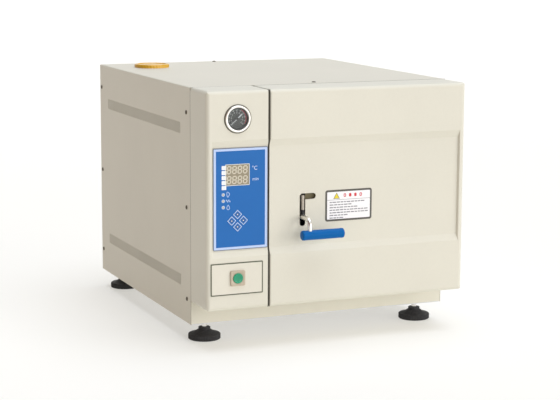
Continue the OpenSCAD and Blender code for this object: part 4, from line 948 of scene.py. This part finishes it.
def makeSlotRim(s):
    # The slot's outline: a half circle at the foot, the inner corner, a half circle at the end and a rounded top
    r = s["slotW"] / 2
    foot, top = s["z"] + s["slotLow"] + r, s["z"] + s["slotLow"] + s["slotH"]
    arc = np.linspace(0, np.pi, 14)
    bottom = np.stack([s["x"] - r * np.cos(arc), foot - r * np.sin(arc)], axis=1)
    corner = np.array([[s["x"] + r, top - 2 * r]])
    endX = s["x"] - r + s["slotL"] - r
    end = np.stack([endX + r * np.sin(arc), top - r - r * np.cos(arc)], axis=1)
    quarter = np.linspace(0, np.pi / 2, 8)
    left = np.stack([s["x"] - r * np.sin(quarter), top - r + r * np.cos(quarter)], axis=1)
    flat = np.vstack([bottom, corner, end, left])
    path = standUp(flat, labelHigh.y)
    addPiece("slotRim", wireMesh(path, s["lip"], (0, 1, 0)), "door", ivoryPaint)


# Grip: a tube with a rolled bead at each end and a barely swollen middle
def makeGrip(s):
    x0, x1 = gripLow.x, gripHigh.x
    _, y, z = middle(gripLow, gripHigh)
    r = (gripHigh.z - gripLow.z) / 2
    t = np.linspace(0, 1, 60)
    body = r - s["bead"] + s["swell"] * np.sin(np.pi * t)
    bead = s["bead"] * sum(np.exp(-((t - at) / s["beadWidth"]) ** 2) for at in (s["beadAt"], 1 - s["beadAt"]))
    fromEnd = np.minimum(t, 1 - t) * (x1 - x0)
    rounding = s["roll"] - np.sqrt(np.maximum(s["roll"] ** 2 - np.maximum(s["roll"] - fromEnd, 0) ** 2, 0))
    radius = np.minimum(body + bead, r) - rounding
    tube = np.stack([radius, x0 + t * (x1 - x0)], axis=1)
    profile = np.vstack([[(0, x0)], tube, [(0, x1)]])
    addPiece("leverGrip", latheMesh(profile, (0, y, z), "x", 72), "lever", gripBlue, ["lever_grip"])


# Black nut round the link, pinched at its waist
def makeLeverNut(s):
    t = np.linspace(0, 1, 14)
    radius = s["nutRadius"] - s["nutWaist"] * np.sin(np.pi * t) ** 2
    height = s["z"] + s["nutFoot"] + s["nutHeight"] * t
    profile = np.vstack([[(0, height[0])], np.stack([radius, height], axis=1), [(0, height[-1])]])
    addPiece("leverNut", latheMesh(profile, (s["x"] + s["linkSide"], s["linkY"], 0), "z", 40), "lever", matBlack)


# Zinc link that stands on the rod behind the slot, and a plate that closes the slot's upper leg from behind, whose
# very dark brown is painted shade of the slot's inside
def makeLink(s):
    foot, top, r = s["z"] + s["linkFoot"], s["z"] + s["linkTop"], s["linkRadius"]
    profile = [(0, foot), (r, foot), (r, top - s["linkEdge"]), (r - s["linkEdge"], top), (0, top)]
    addPiece("latchLink", latheMesh(profile, (s["x"] + s["linkSide"], s["linkY"], 0), "z", 40), "lever", sleeveZinc)
    left, right = s["x"] + s["slotW"] / 2 + 1.5 * mm, s["x"] - s["slotW"] / 2 + s["slotL"] + 3 * mm
    high = s["z"] + s["slotLow"] + s["slotH"] + 2 * mm
    low = high - s["guideDrop"]
    plate = np.array([[left, low], [right, low], [right, high], [left, high]])[None]
    addFlat("slotShadePlate", plate, labelHigh.y + s["guideBack"], s["guideThick"], "door", slotShadeZinc)


makeSlotRim(lever)
makeLink(lever)
makeGrip(grip)
makeLeverNut(lever)
print("label and lever ready")

# Filler cap
capLow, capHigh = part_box("filler_cap")
capX, capY, _ = middle(capLow, capHigh)
cap = {"x": capX, "y": capY, "radius": (capHigh.x - capLow.x) / 2, "flutes": 36, "fluteDepth": 0.55 * mm,
       "edge": 2.6 * mm, "plug": 24.4 * mm, "step": 2.4 * mm, "skirt": 4.2 * mm}


def makeCap(c):
    base, top, r = hoodHigh.z, capHigh.z, c["radius"] - c["fluteDepth"]
    edge = rolledEdge(r, top, c["edge"], -1, 9)
    ring = [(r - 6 * mm, top - 0.1 * mm), (r - 7.4 * mm, top - 1.8 * mm), (r - 12 * mm, top - 2.2 * mm),
            (r - 14 * mm, top - 1.1 * mm), (0, top - 0.9 * mm)]
    plug = [(0, capLow.z), (c["plug"], capLow.z), (c["plug"] + 0.2 * mm, base + c["step"]),
            (r - c["skirt"], base + c["step"]), (r - c["skirt"], base), (r, base)]
    profile = np.vstack([plug, edge, ring])

    def ripple(p, angle):
        side = np.clip(1 - np.abs(p[:, :1] - r) / (0.6 * mm), 0, 1) * (p[:, 1:] > base + 0.5 * mm)
        return side * c["fluteDepth"] * np.cos(c["flutes"] * angle)

    mesh = latheMesh(profile, (c["x"], c["y"], 0), "z", 288, ripple)
    addPiece("fillerCap", mesh, "filler_cap", capAmber, ["filler_cap"])


makeCap(cap)

# Screws
screw = {"radius": 4.5 * mm, "height": 2.2 * mm, "cross": 1.0 * mm, "arm": 2.7 * mm, "sink": 1.1 * mm,
         "fall": 0.62, "crossEdge": 0.22 * mm, "sideHeights": (52 * mm, 250 * mm, 452 * mm), "sideFront": 24 * mm,
         "sideBack": 13 * mm, "topX": -8 * mm, "topFront": 23 * mm, "topBack": 12 * mm, "turn": 0.7}


# Domed head: height falls off with a power of the radius, less a cross with sloped sides
def headPoints(s):
    t = np.linspace(0, 1, 22)
    angle = np.linspace(0, 2 * np.pi, 56, endpoint=False)
    radius = (s["radius"] * t)[:, None] * np.ones_like(angle)
    u, v = radius * np.cos(angle), radius * np.sin(angle)
    dome = s["height"] * (1 - s["fall"] * (radius / s["radius"]) ** 2.4)
    arms = np.maximum(np.minimum(s["cross"] / 2 - np.abs(u), s["arm"] - np.abs(v)),
                      np.minimum(s["cross"] / 2 - np.abs(v), s["arm"] - np.abs(u)))
    dome = dome - s["sink"] * np.clip(arms / s["crossEdge"], 0, 1)
    head = np.stack([u, v, dome], axis=2)
    skirt = head[-1:].copy()
    skirt[..., 2] = 0
    middle = skirt.copy()
    middle[..., :2] = 0
    return np.concatenate([head, skirt, middle])


def makeScrews(s):
    head = headPoints(s)
    places = []
    for x, axis in ((hoodLow.x, -1), (hoodHigh.x, 1)):
        for y in (hoodLow.y + s["sideFront"], hoodHigh.y - s["sideBack"]):
            places += [((x, y, hoodLow.z + h), (axis, 0, 0)) for h in s["sideHeights"]]
    for y in (hoodLow.y + s["topFront"], hoodHigh.y - s["topBack"]):
        places.append(((s["topX"], y, hoodHigh.z), (0, 0, 1)))
    for i, (place, out) in enumerate(places):
        turn = Vector(out).to_track_quat("Z", "Y").to_matrix().to_4x4()
        mesh = gridMesh(head)
        mesh.transform(Matrix.Translation(place) @ turn @ Matrix.Rotation(s["turn"] * i, 4, "Z"))
        replaced = ["case_screws"] if i == 0 else ()
        addPiece(f"screwHead{i}", mesh, "case", darkSteel, replaced)


makeScrews(screw)

# Feet
foot = {"ribs": 60, "ribDepth": 0.5 * mm, "height": 12 * mm, "toe": 1.5 * mm, "shoulder": 2 * mm, "crown": 7.5 * mm,
        "hub": 13 * mm}


def makeFoot(corner, f):
    low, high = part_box("foot_pad_" + corner)
    r, top = (high.x - low.x) / 2 - f["ribDepth"], high.z
    toe = rolledEdge(r, 0, f["toe"], 1, 6)[::-1]
    shoulder = rolledEdge(r, f["height"], f["shoulder"], -1, 6)
    # The crown falls from the hub to the shoulder in a shallow hollow
    t = np.linspace(0, 1, 12)
    crown = np.stack([r - 3 * mm - t * (r - 18.5 * mm), f["height"] + f["crown"] * t ** 1.6], axis=1)
    hub = [(f["hub"] + 1 * mm, 20 * mm), (f["hub"], 21.2 * mm), (f["hub"], top - 0.8 * mm),
           (f["hub"] - 0.8 * mm, top), (0, top)]
    profile = np.vstack([[(0, 0)], toe, shoulder, crown, hub])

    def ripple(p, angle):
        side = (np.abs(p[:, :1] - r) < 0.1 * mm) * (p[:, 1:] < f["height"] - 1 * mm)
        return side * f["ribDepth"] * np.cos(f["ribs"] * angle)

    mesh = latheMesh(profile, (*middle(low, high)[:2], 0), "z", 240, ripple)
    addPiece("footPad_" + corner, mesh, "foot_" + corner, rubber, ["foot_pad_" + corner])


for corner in ("fl", "fr", "rl", "rr"):
    makeFoot(corner, foot)

# Rear
fanLow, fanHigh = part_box("fan_frame")
guard = {"rings": 5, "wire": 1.0 * mm, "hub": 13 * mm, "spokes": 4}


def makeGuard(g):
    # Finger guard: round wires in circles about the fan's axis, crossed by straight wires
    x, _, z = middle(fanLow, fanHigh)
    reach = (fanHigh.x - fanLow.x) / 2 + 1 * mm
    y = hoodHigh.y + g["wire"]
    for i in range(g["rings"]):
        r = g["hub"] + (reach - g["hub"]) * i / (g["rings"] - 1)
        path = standUp(circleOutline((x, z), r, 96), y)
        addPiece(f"guardRing{i}", wireMesh(path, g["wire"], (0, 1, 0)), "case", polishedSteel)
    for i in range(g["spokes"]):
        a = math.pi * (i + 0.5) / g["spokes"]
        ends = np.linspace(-1, 1, 9)[:, None] * np.array([math.cos(a), 0, math.sin(a)]) * (reach + 2 * mm)
        path = ends + np.array([x, y + 1.6 * g["wire"], z])
        addPiece(f"guardSpoke{i}", wireMesh(path, g["wire"], (0, 1, 0), closed=False), "case",
                 polishedSteel)


makeGuard(guard)
print("screws, feet and rear ready")
